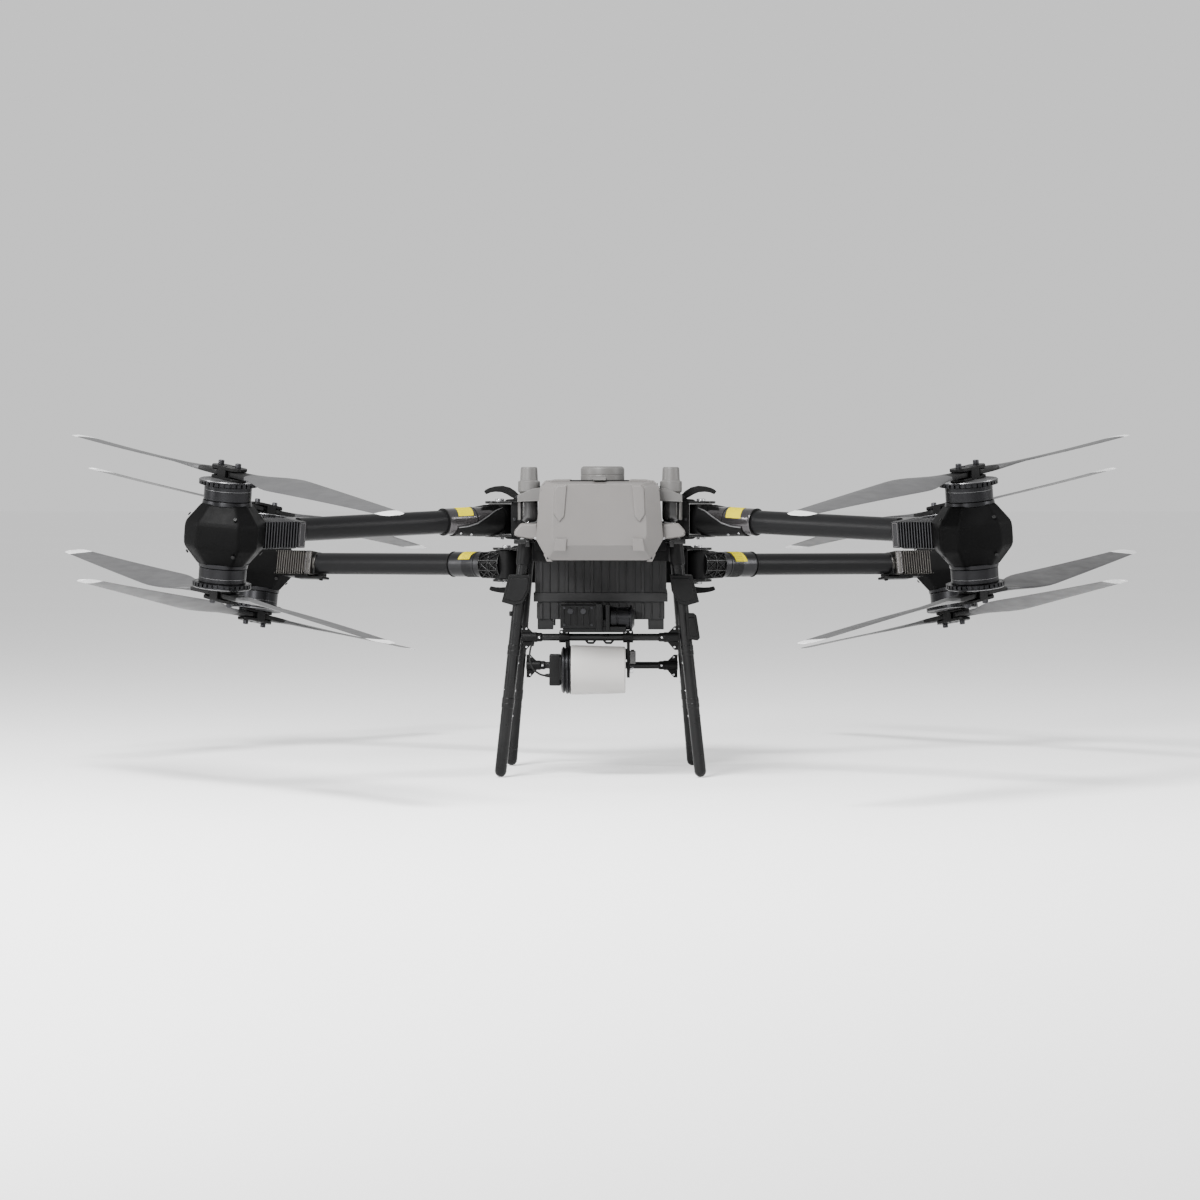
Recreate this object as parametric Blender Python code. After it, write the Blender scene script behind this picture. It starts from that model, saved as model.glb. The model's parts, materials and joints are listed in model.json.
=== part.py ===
"""Agricultural spray drone with four folding arms and eight folding propellers.

Metres, +Z up. The nose faces -Y, the feet stand on z = 0 and the origin lies under the middle.
Left and right are the aircraft's own, so its left side is at +X.
"""

import math
from dataclasses import dataclass

import bmesh
import bpy
from mathutils import Matrix, Vector

# Driving sizes
GAP = 0.0005
SIDES = {"left": 1, "right": -1}
PROPELLER_RADIUS = 0.6875
TUBE_RADIUS = 0.027
SLEEVE_RADIUS = 0.031
SLEEVE_LENGTH = 0.160
POD_ACROSS = 0.173
POD_HEIGHT = 0.145
POD_END_SHARE = 0.66
POD_KNEE = 0.55

# Arm hinge: a knuckle held between the two plates of a clevis
KNUCKLE_RADIUS = 0.026
KNUCKLE_HALF_HEIGHT = 0.0345
CLEVIS_INNER = 0.036
CLEVIS_OUTER = 0.042
CLEVIS_HALF_WIDTH = 0.034
CLEVIS_WEB_FACE = -0.030
LEVER_SETBACK = 0.042
LEVER_HALF_WIDTH = 0.011

# Speed controller, in the pod's frame: distances along the arm from the pod's centre
CONTROLLER_START = 0.193
CONTROLLER_END = 0.050
CONTROLLER_HALF_WIDTH = 0.036
CONTROLLER_HALF_HEIGHT = 0.030

# Rotor, as heights from the pod's centre along the shaft
BELL_RADIUS = 0.053
STATOR_RADIUS = 0.044
RIM_RADIUS = 0.066
STATOR_TOP = 0.0850
BELL_BASE = STATOR_TOP + GAP
RIM_BASE = 0.106
RIM_TOP = 0.121
PLATE = 0.004
BLADE_PLANE = 0.132
BLADE_ROOT_THICKNESS = 0.011
HUB_TOP = BLADE_PLANE + BLADE_ROOT_THICKNESS / 2 + GAP + PLATE
BLADE_PIVOT = 0.035
BLADE_EYE_RADIUS = 0.020
SPACER_HALF_LENGTH = 0.013

# Blade, by distance from its pivot; its outline is in shares of the chord and the thickness
BLADE_LENGTH = PROPELLER_RADIUS - BLADE_PIVOT
BLADE_NECK_WIDTH = 0.037
BLADE_NECK_END = 0.030
BLADE_WIDEST = 0.112
BLADE_SWELL_LENGTH = 0.160
BLADE_FADE_LENGTH = 0.120
BLADE_TAPER_START = 0.30
BLADE_TAPER = 0.52
BLADE_ROOT_PITCH = 17
BLADE_TIP_PITCH = 6
BLADE_UPPER_SIDE = ((0.5, 0.0), (0.42, 0.42), (0.1, 0.5), (-0.3, 0.4))
BLADE_LOWER_SIDE = ((-0.5, 0.0), (-0.3, -0.3), (0.1, -0.5), (0.42, -0.42))
BLADE_OUTLINE = BLADE_UPPER_SIDE + BLADE_LOWER_SIDE

# Frame
RAIL_INNER = 0.150
RAIL_OUTER = 0.175
RAIL_BASE = 0.555
RAIL_TOP = 0.600
RAIL_FRONT = -0.335
RAIL_REAR = 0.325
REAR_DROP_BASE = 0.446
TANK_BAY_FRONT = -0.100
TANK_BAY_REAR = 0.130
SHOULDER_REACH = 0.197
CROSS_MEMBER = 0.015
NOSE_TRAY_TOP = 0.586
NOSE_TRAY_HALF_WIDTH = 0.100

# Tank
TANK_HALF_WIDTH = 0.158
TANK_FRONT = -0.161
TANK_REAR = 0.168
TANK_BASE = 0.370
TANK_TOP = 0.655
TANK_NECK = 0.130

# Nose cover outline, half widths and heights
NOSE_FRONT = -0.450
NOSE_SHOULDER = -0.412
NOSE_REAR = -0.121
NOSE_TOP = 0.697
NOSE_BASE = 0.515
NOSE_WALL = 0.003
NOSE_LATCH_Y = -0.395

# Antennas
PUCK_RADIUS = 0.0515
PUCK_Y = -0.200
ANTENNA_X = 0.1645
ANTENNA_Y = -0.318

# Landing gear
LEG_RADIUS = 0.014
LEG_TOP_X = 0.176
LEG_FRONT_Y = -0.200
LEG_REAR_Y = 0.200
FRONT_FOOT_X = 0.236
REAR_FOOT_X = 0.222
FOOT_RADIUS = 0.015
FOOT_FLAT_RADIUS = 0.0105
LEG_JOINT_HEIGHTS = (0.175, 0.300)
FRONT_BAR_HEIGHT = 0.330
REAR_BAR_HEIGHT = 0.246
CROSSBAR_RADIUS = 0.0085
SOCKET_RADIUS = 0.012

# Terrain radar
RADAR_Y = -0.200
RADAR_Z = 0.253
RADAR_START = -0.069
RADAR_END = 0.059
RADAR_BIG_RADIUS = 0.0585
RADAR_SMALL_RADIUS = 0.055

# Radar cable, from the crossbar's socket on the -X side to the radar's motor box
CABLE_RADIUS = 0.0024
CABLE_START = (-0.160, RADAR_Y, FRONT_BAR_HEIGHT - SOCKET_RADIUS - 0.0008)
CABLE_END = (-0.1205, RADAR_Y, RADAR_Z - 0.013)
CABLE_BENDS = (
    (-0.165, RADAR_Y - 0.004, 0.300),
    (-0.166, RADAR_Y - 0.008, 0.278),
    (-0.158, RADAR_Y - 0.009, 0.256),
    (-0.142, RADAR_Y - 0.006, 0.243),
    (-0.130, RADAR_Y - 0.002, 0.240),
)


@dataclass
class ArmPair:
    """The two mirrored arms at one end of the aircraft, given by the one at +X."""

    name: str
    pivot_x: float
    pivot_y: float
    azimuth: float
    reach: float
    root_height: float
    pod_height: float
    cant: float
    lever_side: int
    spin: int


ARM_PAIRS = (
    ArmPair("front", 0.235, -0.255, -37.5, 0.753, 0.608, 0.581, 7.3, 1, 1),
    ArmPair("rear", 0.235, 0.273, 34.3, 0.779, 0.490, 0.4835, -9.0, -1, -1),
)


def clear_scene():
    for item in list(bpy.data.objects):
        bpy.data.objects.remove(item)


def surface(name, colour, roughness, metallic=0.0):
    made = bpy.data.materials.new(name)
    made.use_nodes = True
    shader = made.node_tree.nodes["Principled BSDF"]
    shader.inputs["Base Color"].default_value = (*colour, 1.0)
    shader.inputs["Roughness"].default_value = roughness
    shader.inputs["Metallic"].default_value = metallic
    return made


def loft(rings):
    """A closed shape through rings of points, each ring given in the same order."""
    shape = bmesh.new()
    rows = [[shape.verts.new(point) for point in ring] for ring in rings]
    for row, following in zip(rows, rows[1:]):
        for index, corner in enumerate(row):
            after = (index + 1) % len(row)
            shape.faces.new((corner, row[after], following[after], following[index]))
    shape.faces.new(reversed(rows[0]))
    shape.faces.new(rows[-1])
    bmesh.ops.recalc_face_normals(shape, faces=shape.faces)
    return shape


def box(low, high):
    corners = ((low[0], low[1]), (high[0], low[1]), (high[0], high[1]), (low[0], high[1]))
    return loft([[(x, y, z) for x, y in corners] for z in (low[2], high[2])])


def mirrored_box(side, low, high):
    """A box given by its place at +X, on either side."""
    near, far = sorted((side * low[0], side * high[0]))
    return box((near, low[1], low[2]), (far, high[1], high[2]))


def circle(radius, height, sides):
    turns = [2 * math.pi * (index + 0.5) / sides for index in range(sides)]
    return [(radius * math.cos(turn), radius * math.sin(turn), height) for turn in turns]


def turned(profile, sides=20):
    """A closed shape turned about Z from (radius, height) steps, bottom to top."""
    return loft([circle(radius, height, sides) for radius, height in profile])


def rod(start, end, radius, end_radius=None, sides=16):
    start, end = Vector(start), Vector(end)
    shape = turned(((radius, 0), (end_radius or radius, (end - start).length)), sides)
    turn = (end - start).to_track_quat("Z", "Y").to_matrix().to_4x4()
    bmesh.ops.transform(shape, matrix=Matrix.Translation(start) @ turn, verts=shape.verts)
    return shape


def moved(shape, matrix):
    bmesh.ops.transform(shape, matrix=matrix, verts=shape.verts)
    bmesh.ops.recalc_face_normals(shape, faces=shape.faces)
    return shape


def add_object(name, shape, finish, matrix=None):
    mesh = bpy.data.meshes.new(name)
    shape.to_mesh(mesh)
    shape.free()
    mesh.materials.append(finish)
    mesh.shade_smooth()
    mesh.set_sharp_from_angle(angle=math.radians(35))
    made = bpy.data.objects.new(name, mesh)
    made.matrix_world = matrix or Matrix()
    bpy.context.scene.collection.objects.link(made)
    return made


def add_joined(name, shapes, finish, matrix=None):
    """One object: the union of overlapping closed shapes."""
    made = add_object(name, shapes[0], finish)
    helpers = []
    for index, shape in enumerate(shapes[1:]):
        helper = add_object(f"{name}_helper_{index}", shape, finish)
        modifier = made.modifiers.new(helper.name, "BOOLEAN")
        modifier.operation = "UNION"
        modifier.solver = "EXACT"
        modifier.object = helper
        helpers.append(helper)
    graph = bpy.context.evaluated_depsgraph_get()
    mesh = bpy.data.meshes.new_from_object(made.evaluated_get(graph))
    made.modifiers.clear()
    made.data = mesh
    made.matrix_world = matrix or Matrix()
    for helper in helpers:
        bpy.data.objects.remove(helper)
    return made


# Arms and rotors


def arm_frame(pair, side):
    """Matrix of an arm: origin on its hinge axis, X along the arm, Z up."""
    turn = math.radians(pair.azimuth)
    along = Vector((side * math.cos(turn), math.sin(turn), 0))
    across = Vector((-along.y, along.x, 0))
    rotation = Matrix((along, across, Vector((0, 0, 1)))).transposed().to_4x4()
    return Matrix.Translation((side * pair.pivot_x, pair.pivot_y, pair.root_height)) @ rotation


def pod_frame(pair, side):
    """Matrix of a motor pod: X along the arm, Z along the canted shafts."""
    drop = pair.pod_height - pair.root_height
    canted = Matrix.Rotation(math.radians(side * pair.cant), 4, "X")
    return arm_frame(pair, side) @ Matrix.Translation((pair.reach, 0, drop)) @ canted


def rotor_frame(pair, side, level):
    """Matrix of a rotor: Z points out of the pod, up for level 1 and down for level -1."""
    flip = Matrix.Rotation(0 if level > 0 else math.pi, 4, "X")
    return pod_frame(pair, side) @ flip


def make_arm(pair, side, label, finish):
    drop = pair.pod_height - pair.root_height
    along = Vector((pair.reach, 0, drop)).normalized()
    tube_end = along * (pair.reach - CONTROLLER_START - 2 * GAP)
    knuckle = turned(((KNUCKLE_RADIUS, -KNUCKLE_HALF_HEIGHT), (KNUCKLE_RADIUS, KNUCKLE_HALF_HEIGHT)))
    sleeve = rod((0, 0, 0), along * SLEEVE_LENGTH, SLEEVE_RADIUS)
    tube = rod(along * (SLEEVE_LENGTH / 2), tube_end, TUBE_RADIUS)
    add_joined(f"arm_{label}", [knuckle, sleeve, tube], finish, arm_frame(pair, side))


def make_pod(pair, side, label, finish):
    half = POD_HEIGHT / 2
    widest = POD_ACROSS / 2 / math.cos(math.pi / 8)
    knee = POD_KNEE * half
    steps = ((POD_END_SHARE, -half), (1.0, -knee), (1.0, knee), (POD_END_SHARE, half))
    ball = turned([(widest * share, height) for share, height in steps], 8)
    stator = turned(((STATOR_RADIUS, -STATOR_TOP), (STATOR_RADIUS, STATOR_TOP)))
    controller = box(
        (-CONTROLLER_START, -CONTROLLER_HALF_WIDTH, -CONTROLLER_HALF_HEIGHT),
        (-CONTROLLER_END, CONTROLLER_HALF_WIDTH, CONTROLLER_HALF_HEIGHT),
    )
    add_joined(f"motor_pod_{label}", [ball, stator, controller], finish, pod_frame(pair, side))


def hub_plate(base):
    """One flat plate of the hub, with a round end about each blade pivot."""
    top = base + PLATE
    middle = box((-BLADE_EYE_RADIUS, -BLADE_PIVOT, base), (BLADE_EYE_RADIUS, BLADE_PIVOT, top))
    shapes = [middle]
    for place in (-BLADE_PIVOT, BLADE_PIVOT):
        eye = turned(((BLADE_EYE_RADIUS, base), (BLADE_EYE_RADIUS, top)), 12)
        shapes.append(moved(eye, Matrix.Translation((0, place, 0))))
    return shapes


def make_rotor(pair, side, level, label, finish):
    motor = turned(
        (
            (0.92 * BELL_RADIUS, BELL_BASE),
            (BELL_RADIUS, BELL_BASE + 0.004),
            (BELL_RADIUS, RIM_BASE),
            (RIM_RADIUS, RIM_BASE),
            (RIM_RADIUS, RIM_TOP),
        ),
        24,
    )
    spacer = box(
        (-BLADE_EYE_RADIUS, -SPACER_HALF_LENGTH, RIM_BASE),
        (BLADE_EYE_RADIUS, SPACER_HALF_LENGTH, HUB_TOP - PLATE / 2),
    )
    lower = hub_plate(BLADE_PLANE - BLADE_ROOT_THICKNESS / 2 - GAP - PLATE)
    upper = hub_plate(HUB_TOP - PLATE)
    shapes = [motor, spacer, *lower, *upper]
    add_joined(f"rotor_{label}", shapes, finish, rotor_frame(pair, side, level))


def blade_chord(distance):
    """Chord at a distance from the pivot: a narrow neck, a wide inner part and a slim tip."""
    swell = min(1.0, max(0.0, distance - BLADE_NECK_END) / BLADE_SWELL_LENGTH)
    inner = BLADE_NECK_WIDTH + (BLADE_WIDEST - BLADE_NECK_WIDTH) * math.sin(swell * math.pi / 2) ** 2
    taper = max(0.0, distance / BLADE_LENGTH - BLADE_TAPER_START) / (1 - BLADE_TAPER_START)
    return inner * (1 - BLADE_TAPER * taper)


def blade_section(distance, hand):
    """Eight points round the blade at a distance from the pivot, in the rotor's frame."""
    share = max(0.0, distance / BLADE_LENGTH)
    chord = blade_chord(distance)
    fade = min(1.0, max(0.0, distance - BLADE_NECK_END) / BLADE_FADE_LENGTH)
    pitch = math.radians(hand * fade * (BLADE_ROOT_PITCH + (BLADE_TIP_PITCH - BLADE_ROOT_PITCH) * share))
    thickness = BLADE_ROOT_THICKNESS * (1 - fade) + fade * (0.010 - 0.0065 * share)
    sweep = hand * fade * (0.012 - 0.030 * share**2)
    ring = []
    for across, height in BLADE_OUTLINE:
        squared = math.copysign(0.5, height) if height else 0.0
        up = thickness * (fade * height + (1 - fade) * squared)
        x = hand * across * chord
        ring.append(
            (
                sweep + x * math.cos(pitch) - up * math.sin(pitch),
                distance,
                BLADE_PLANE + x * math.sin(pitch) * 0.8 + up * math.cos(pitch),
            )
        )
    return ring


def make_blade(pair, side, level, end, label, finish):
    """One blade, its origin on its fold bolt; end is 1 or -1, for the hub's two ends."""
    hand = side * level * pair.spin
    distances = (-0.6 * BLADE_EYE_RADIUS, 0.03, 0.075, 0.13, 0.19, 0.32, 0.46, 0.58, BLADE_LENGTH)
    shape = loft([blade_section(distance, hand) for distance in distances])
    turn = Matrix.Rotation(0 if end > 0 else math.pi, 4, "Z")
    place = rotor_frame(pair, side, level) @ turn @ Matrix.Translation((0, BLADE_PIVOT, 0))
    add_object(f"blade_{label}", shape, finish, place)


def make_arm_root(pair, side, label, finish):
    """The clevis that holds the arm's knuckle, bolted to the frame rail."""
    back = RAIL_OUTER + GAP - pair.pivot_x
    web = box((back, -CLEVIS_HALF_WIDTH, -CLEVIS_OUTER), (CLEVIS_WEB_FACE, CLEVIS_HALF_WIDTH, CLEVIS_OUTER))
    shapes = [web]
    for low, high in ((-CLEVIS_OUTER, -CLEVIS_INNER), (CLEVIS_INNER, CLEVIS_OUTER)):
        shapes.append(box((CLEVIS_WEB_FACE - 0.002, -CLEVIS_HALF_WIDTH, low), (0, CLEVIS_HALF_WIDTH, high)))
        shapes.append(turned(((CLEVIS_HALF_WIDTH, low), (CLEVIS_HALF_WIDTH, high))))
    heights = (pair.lever_side * (CLEVIS_OUTER - 0.003), pair.lever_side * (CLEVIS_OUTER + 0.016))
    for low, high in ((-0.020, -0.012), (0.012, 0.020)):
        shapes.append(box((-0.050, low, min(heights)), (-0.034, high, max(heights))))
    place = Matrix.Translation((side * pair.pivot_x, pair.pivot_y, pair.root_height))
    mirror = Matrix.Diagonal((side, 1, 1, 1))
    add_joined(f"arm_root_{label}", [moved(shape, mirror) for shape in shapes], finish, place)


def make_lever(pair, side, label, finish):
    """The hooked latch lever over the clevis, its origin on its own pivot."""
    lower = [(-0.005, -0.005), (0.010, -0.004), (0.030, 0.010), (0.052, 0.012), (0.070, 0.008)]
    upper = [(0.074, 0.013), (0.054, 0.021), (0.030, 0.020), (0.004, 0.006), (-0.005, 0.005)]
    rings = [
        [(side * x, y, pair.lever_side * z) for x, z in lower + upper]
        for y in (-LEVER_HALF_WIDTH, LEVER_HALF_WIDTH)
    ]
    height = pair.root_height + pair.lever_side * (CLEVIS_OUTER + 0.009)
    place = Matrix.Translation((side * (pair.pivot_x - LEVER_SETBACK), pair.pivot_y, height))
    add_object(f"latch_lever_{label}", loft(rings), finish, place)


def make_arms(finishes):
    for pair in ARM_PAIRS:
        for side_name, side in SIDES.items():
            label = f"{pair.name}_{side_name}"
            make_arm_root(pair, side, label, finishes["casting"])
            make_lever(pair, side, label, finishes["casting"])
            make_arm(pair, side, label, finishes["carbon"])
            make_pod(pair, side, label, finishes["casting"])
            for level_name, level in (("upper", 1), ("lower", -1)):
                rotor = f"{label}_{level_name}"
                make_rotor(pair, side, level, rotor, finishes["motor"])
                for end_name, end in (("a", 1), ("b", -1)):
                    make_blade(pair, side, level, end, f"{rotor}_{end_name}", finishes["blade"])


# Body


def make_frame(finish):
    """Two rails joined by cross-members, with a tray under the battery and one in the nose."""
    shapes = []
    for side in SIDES.values():
        rail = ((RAIL_INNER, RAIL_FRONT, RAIL_BASE), (RAIL_OUTER, RAIL_REAR, RAIL_TOP))
        rear_drop = ((RAIL_INNER, 0.236, REAR_DROP_BASE), (RAIL_OUTER, 0.310, RAIL_BASE + 0.010))
        shoulder = (
            (RAIL_INNER + 0.002, RAIL_FRONT - 0.012, RAIL_BASE + 0.006),
            (SHOULDER_REACH, RAIL_FRONT + 0.014, RAIL_TOP - 0.002),
        )
        shapes += [mirrored_box(side, *corners) for corners in (rail, rear_drop, shoulder)]
    reach = RAIL_INNER + 0.010
    for front in (TANK_BAY_FRONT - CROSS_MEMBER, TANK_BAY_REAR, RAIL_REAR - 0.005 - CROSS_MEMBER):
        low = (-reach, front, RAIL_BASE + 0.004)
        shapes.append(box(low, (reach, front + CROSS_MEMBER, RAIL_TOP - 0.004)))
    battery_floor = (reach, 0.310, RAIL_BASE + 0.016)
    shapes.append(box((-reach, TANK_BAY_REAR + 0.010, RAIL_BASE + 0.008), battery_floor))
    nose_floor = (NOSE_TRAY_HALF_WIDTH, TANK_BAY_FRONT - 0.010, NOSE_TRAY_TOP)
    shapes.append(box((-NOSE_TRAY_HALF_WIDTH, -0.390, NOSE_TRAY_TOP - 0.006), nose_floor))
    add_joined("main_frame", shapes, finish)


def nose_ring(wall, front):
    """Half of the eight-sided nose section in (x, z), mirrored; the front one is smaller."""
    if front:
        half = ((0.098, 0.550), (0.108, 0.572), (0.105, 0.682), (0.098, 0.690))
    else:
        half = ((0.121, NOSE_BASE), (0.1465, 0.564), (0.137, 0.684), (0.125, NOSE_TOP))
    centre = (NOSE_TOP + NOSE_BASE) / 2
    right = [(x - wall, z + math.copysign(wall, centre - z)) for x, z in half]
    return right + [(-x, z) for x, z in reversed(right)]


def make_nose(finish):
    """A shell that is open at the back, where it meets the frame."""
    steps = (
        (NOSE_WALL, True, NOSE_FRONT + NOSE_WALL),
        (NOSE_WALL, False, NOSE_SHOULDER + NOSE_WALL),
        (NOSE_WALL, False, NOSE_REAR),
        (0, False, NOSE_REAR),
        (0, False, NOSE_SHOULDER),
        (0, True, NOSE_FRONT),
    )
    rings = [[(x, y, z) for x, z in nose_ring(wall, front)] for wall, front, y in steps]
    add_object("nose_cover", loft(rings), finish)


def make_nose_latch(finish):
    """A short arched catch over the front edge of the nose cover's top."""
    lower = [(0.002, 0.0045), (-0.004, 0.0), (-0.030, 0.0), (-0.036, 0.004)]
    upper = [(-0.028, 0.009), (-0.004, 0.009)]
    rings = [[(x, y, z) for y, z in lower + upper] for x in (-0.020, 0.020)]
    place = Matrix.Translation((0, NOSE_LATCH_Y, NOSE_TOP + GAP))
    add_object("nose_latch", loft(rings), finish, place)


def make_electronics(finishes):
    """The flight controller in the nose, the round antenna on it and a post on each rail."""
    controller = box((-0.060, -0.340, NOSE_TRAY_TOP + GAP), (0.060, -0.230, 0.625))
    add_object("flight_controller", controller, finishes["black"])
    puck = turned(((PUCK_RADIUS, 0), (PUCK_RADIUS, 0.022), (PUCK_RADIUS - 0.0085, 0.0335)), 28)
    place = Matrix.Translation((0.005, PUCK_Y, NOSE_TOP + GAP))
    add_object("gps_antenna", puck, finishes["pale"], place)
    lamp = [(0.010, 0), (0.0165, 0.006), (0.0195, 0.016), (0.0195, 0.050)]
    neck = [(0.0215, 0.051), (0.0215, 0.070)]
    collar = [(0.0255, 0.0715), (0.0255, 0.0965)]
    cap = [(0.0205, 0.098), (0.0195, 0.126), (0.017, 0.129)]
    for side_name, side in SIDES.items():
        post = turned(lamp + neck + collar + cap)
        place = Matrix.Translation((side * ANTENNA_X, ANTENNA_Y, RAIL_TOP + GAP))
        add_object(f"antenna_{side_name}", post, finishes["pale"], place)


def make_tank(finish):
    """A wide ribbed tank under the frame, with a neck that rises between the rails."""
    band, upper, lower = TANK_HALF_WIDTH, TANK_HALF_WIDTH - 0.003, TANK_HALF_WIDTH - 0.007
    front, rear = TANK_FRONT, TANK_REAR
    neck_front, neck_rear = TANK_BAY_FRONT + 0.008, TANK_BAY_REAR - 0.008
    shapes = [
        box((-upper, front + 0.003, 0.4300), (upper, rear - 0.003, 0.5120)),
        box((-band, front, 0.4120), (band, rear, 0.4335)),
        box((-lower, front + 0.007, TANK_BASE), (lower, rear - 0.007, 0.4150)),
        box((-TANK_NECK, neck_front, 0.5000), (TANK_NECK, neck_rear, TANK_TOP)),
    ]
    for side in SIDES.values():
        for start in (-0.145, 0.115):
            low, high = (0.112, start, TANK_BASE - 0.024), (0.149, start + 0.037, TANK_BASE + 0.006)
            shapes.append(mirrored_box(side, low, high))
    add_joined("spray_tank", shapes, finish)


def make_tank_cap(finish):
    profile = ((0.046, 0), (0.046, 0.024), (0.042, 0.028))
    place = Matrix.Translation((0, 0.015, TANK_TOP + GAP))
    add_object("tank_cap", turned(profile, 20), finish, place)


def make_battery(finish):
    """The pack that slides in from the rear, with its pull handle."""
    front, rear = TANK_BAY_REAR + 0.017, 0.300
    shapes = [
        box((-0.120, front, RAIL_TOP + GAP), (0.120, rear, 0.684)),
        box((-0.055, rear + 0.022, 0.658), (0.055, rear + 0.036, 0.677)),
    ]
    for side in SIDES.values():
        shapes.append(mirrored_box(side, (0.040, rear - 0.010, 0.660), (0.055, rear + 0.035, 0.675)))
    add_joined("battery", shapes, finish)


def make_pump(finish):
    """Two pump heads and a motor on one base, in front of the tank."""
    y, z = -0.202, 0.374
    shapes = [
        box((-0.094, y - 0.034, z - 0.022), (0.006, y + 0.037, z + 0.034)),
        box((-0.010, y - 0.038, z - 0.029), (0.022, y + 0.033, z + 0.036)),
        rod((0.010, y, z), (0.078, y, z), 0.027),
        rod((0.070, y, z), (0.080, y, z), 0.031),
        box((-0.088, y - 0.028, z - 0.032), (0.060, y + 0.027, z - 0.018)),
    ]
    add_joined("pump_unit", shapes, finish)


def make_radar(finishes):
    """A tapered drum that turns about X between the two plates of its hanger."""
    half = (RADAR_END - RADAR_START) / 2
    drum = rod((-half, 0, 0), (half, 0, 0), RADAR_BIG_RADIUS, RADAR_SMALL_RADIUS, 32)
    centre = ((RADAR_START + RADAR_END) / 2, RADAR_Y, RADAR_Z)
    add_object("radar_drum", drum, finishes["white"], Matrix.Translation(centre))
    bar_base = FRONT_BAR_HEIGHT - CROSSBAR_RADIUS - GAP
    plate_base = RADAR_Z - 0.021
    rear = RADAR_Y + 0.085
    motor_side = RADAR_START - 0.013
    free_side = RADAR_END + 0.002
    ring_start = (RADAR_START - 0.0245, RADAR_Y, RADAR_Z)
    shapes = [
        box((motor_side, RADAR_Y - 0.018, plate_base), (motor_side + 0.011, rear, bar_base)),
        box((free_side, RADAR_Y - 0.016, plate_base), (free_side + 0.009, rear, bar_base)),
        box((motor_side, rear - 0.019, 0.268), (free_side + 0.009, rear - 0.005, 0.312)),
        box((-0.120, RADAR_Y - 0.020, 0.2165), (motor_side + 0.004, RADAR_Y + 0.024, 0.290)),
        rod(ring_start, (RADAR_START - GAP, RADAR_Y, RADAR_Z), RADAR_SMALL_RADIUS, sides=28),
        rod((RADAR_END + GAP, RADAR_Y, RADAR_Z), (free_side + 0.014, RADAR_Y, RADAR_Z), 0.012, sides=12),
    ]
    add_joined("radar_mount", shapes, finishes["black"])


def smooth_curve(route, steps):
    """Points along a smooth curve through the route's points, some steps to each stretch."""
    route = [Vector(point) for point in route]
    padded = [2 * route[0] - route[1], *route, 2 * route[-1] - route[-2]]
    points = []
    for before, start, end, after in zip(padded, padded[1:], padded[2:], padded[3:]):
        for step in range(steps):
            share = step / steps
            straight = start.lerp(end, share)
            pull_out = (end - before) / 2 - (end - start)
            pull_in = (after - start) / 2 - (end - start)
            bend = (1 - share) * pull_out - share * pull_in
            points.append(straight + share * (1 - share) * bend)
    return [*points, route[-1]]


def make_radar_cable(finish):
    """The lead that hangs in a loop and is held at both of its ends."""
    points = smooth_curve((CABLE_START, *CABLE_BENDS, CABLE_END), 2)
    curve = bpy.data.curves.new("radar_cable", "CURVE")
    curve.dimensions = "3D"
    curve.bevel_depth = CABLE_RADIUS
    curve.bevel_resolution = 3
    curve.use_fill_caps = True
    spline = curve.splines.new("POLY")
    spline.points.add(len(points) - 1)
    for place, point in zip(spline.points, points):
        place.co = (*point, 1.0)
    curve.materials.append(finish)
    bpy.context.scene.collection.objects.link(bpy.data.objects.new("radar_cable", curve))


# Landing gear


def leg_x(foot_x, height):
    """Distance of a leg's axis from the middle at a height."""
    return foot_x + (LEG_TOP_X - foot_x) * height / RAIL_BASE


def leg_box(foot_x, y, depth, ends):
    """A box on a leg; each of its ends has a height and two distances outward from the leg's axis."""
    rings = []
    for height, near, far in ends:
        middle = leg_x(foot_x, height)
        corners = ((near, -depth), (far, -depth), (far, depth), (near, depth))
        rings.append([(middle + x, y + across, height) for x, across in corners])
    return loft(rings)


def make_leg(side, end, foot_x, y, finish):
    """A sloping tube with two joint sleeves and a round-ended foot."""
    top = RAIL_BASE - 0.0015
    shapes = [rod((leg_x(foot_x, 0.012), y, 0.012), (leg_x(foot_x, top), y, top), LEG_RADIUS)]
    foot = turned(((FOOT_FLAT_RADIUS, 0), (FOOT_RADIUS, 0.008), (FOOT_RADIUS, 0.020), (0.0140, 0.026)))
    shapes.append(moved(foot, Matrix.Translation((foot_x, y, 0))))
    for height in LEG_JOINT_HEIGHTS:
        low, high = height - 0.012, height + 0.012
        sleeve = rod((leg_x(foot_x, low), y, low), (leg_x(foot_x, high), y, high), LEG_RADIUS + 0.0015)
        shapes.append(sleeve)
    if end == "front":
        shapes.append(leg_box(foot_x, y, 0.022, ((0.408, -0.010, 0.042), (0.476, -0.025, 0.027))))
    if end == "front" and side > 0:
        shapes.append(leg_box(foot_x, y, 0.019, ((0.323, 0.004, 0.034), (0.386, 0.004, 0.034))))
    mirror = Matrix.Diagonal((side, 1, 1, 1))
    side_name = "left" if side > 0 else "right"
    add_joined(f"leg_{end}_{side_name}", [moved(shape, mirror) for shape in shapes], finish)


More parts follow.
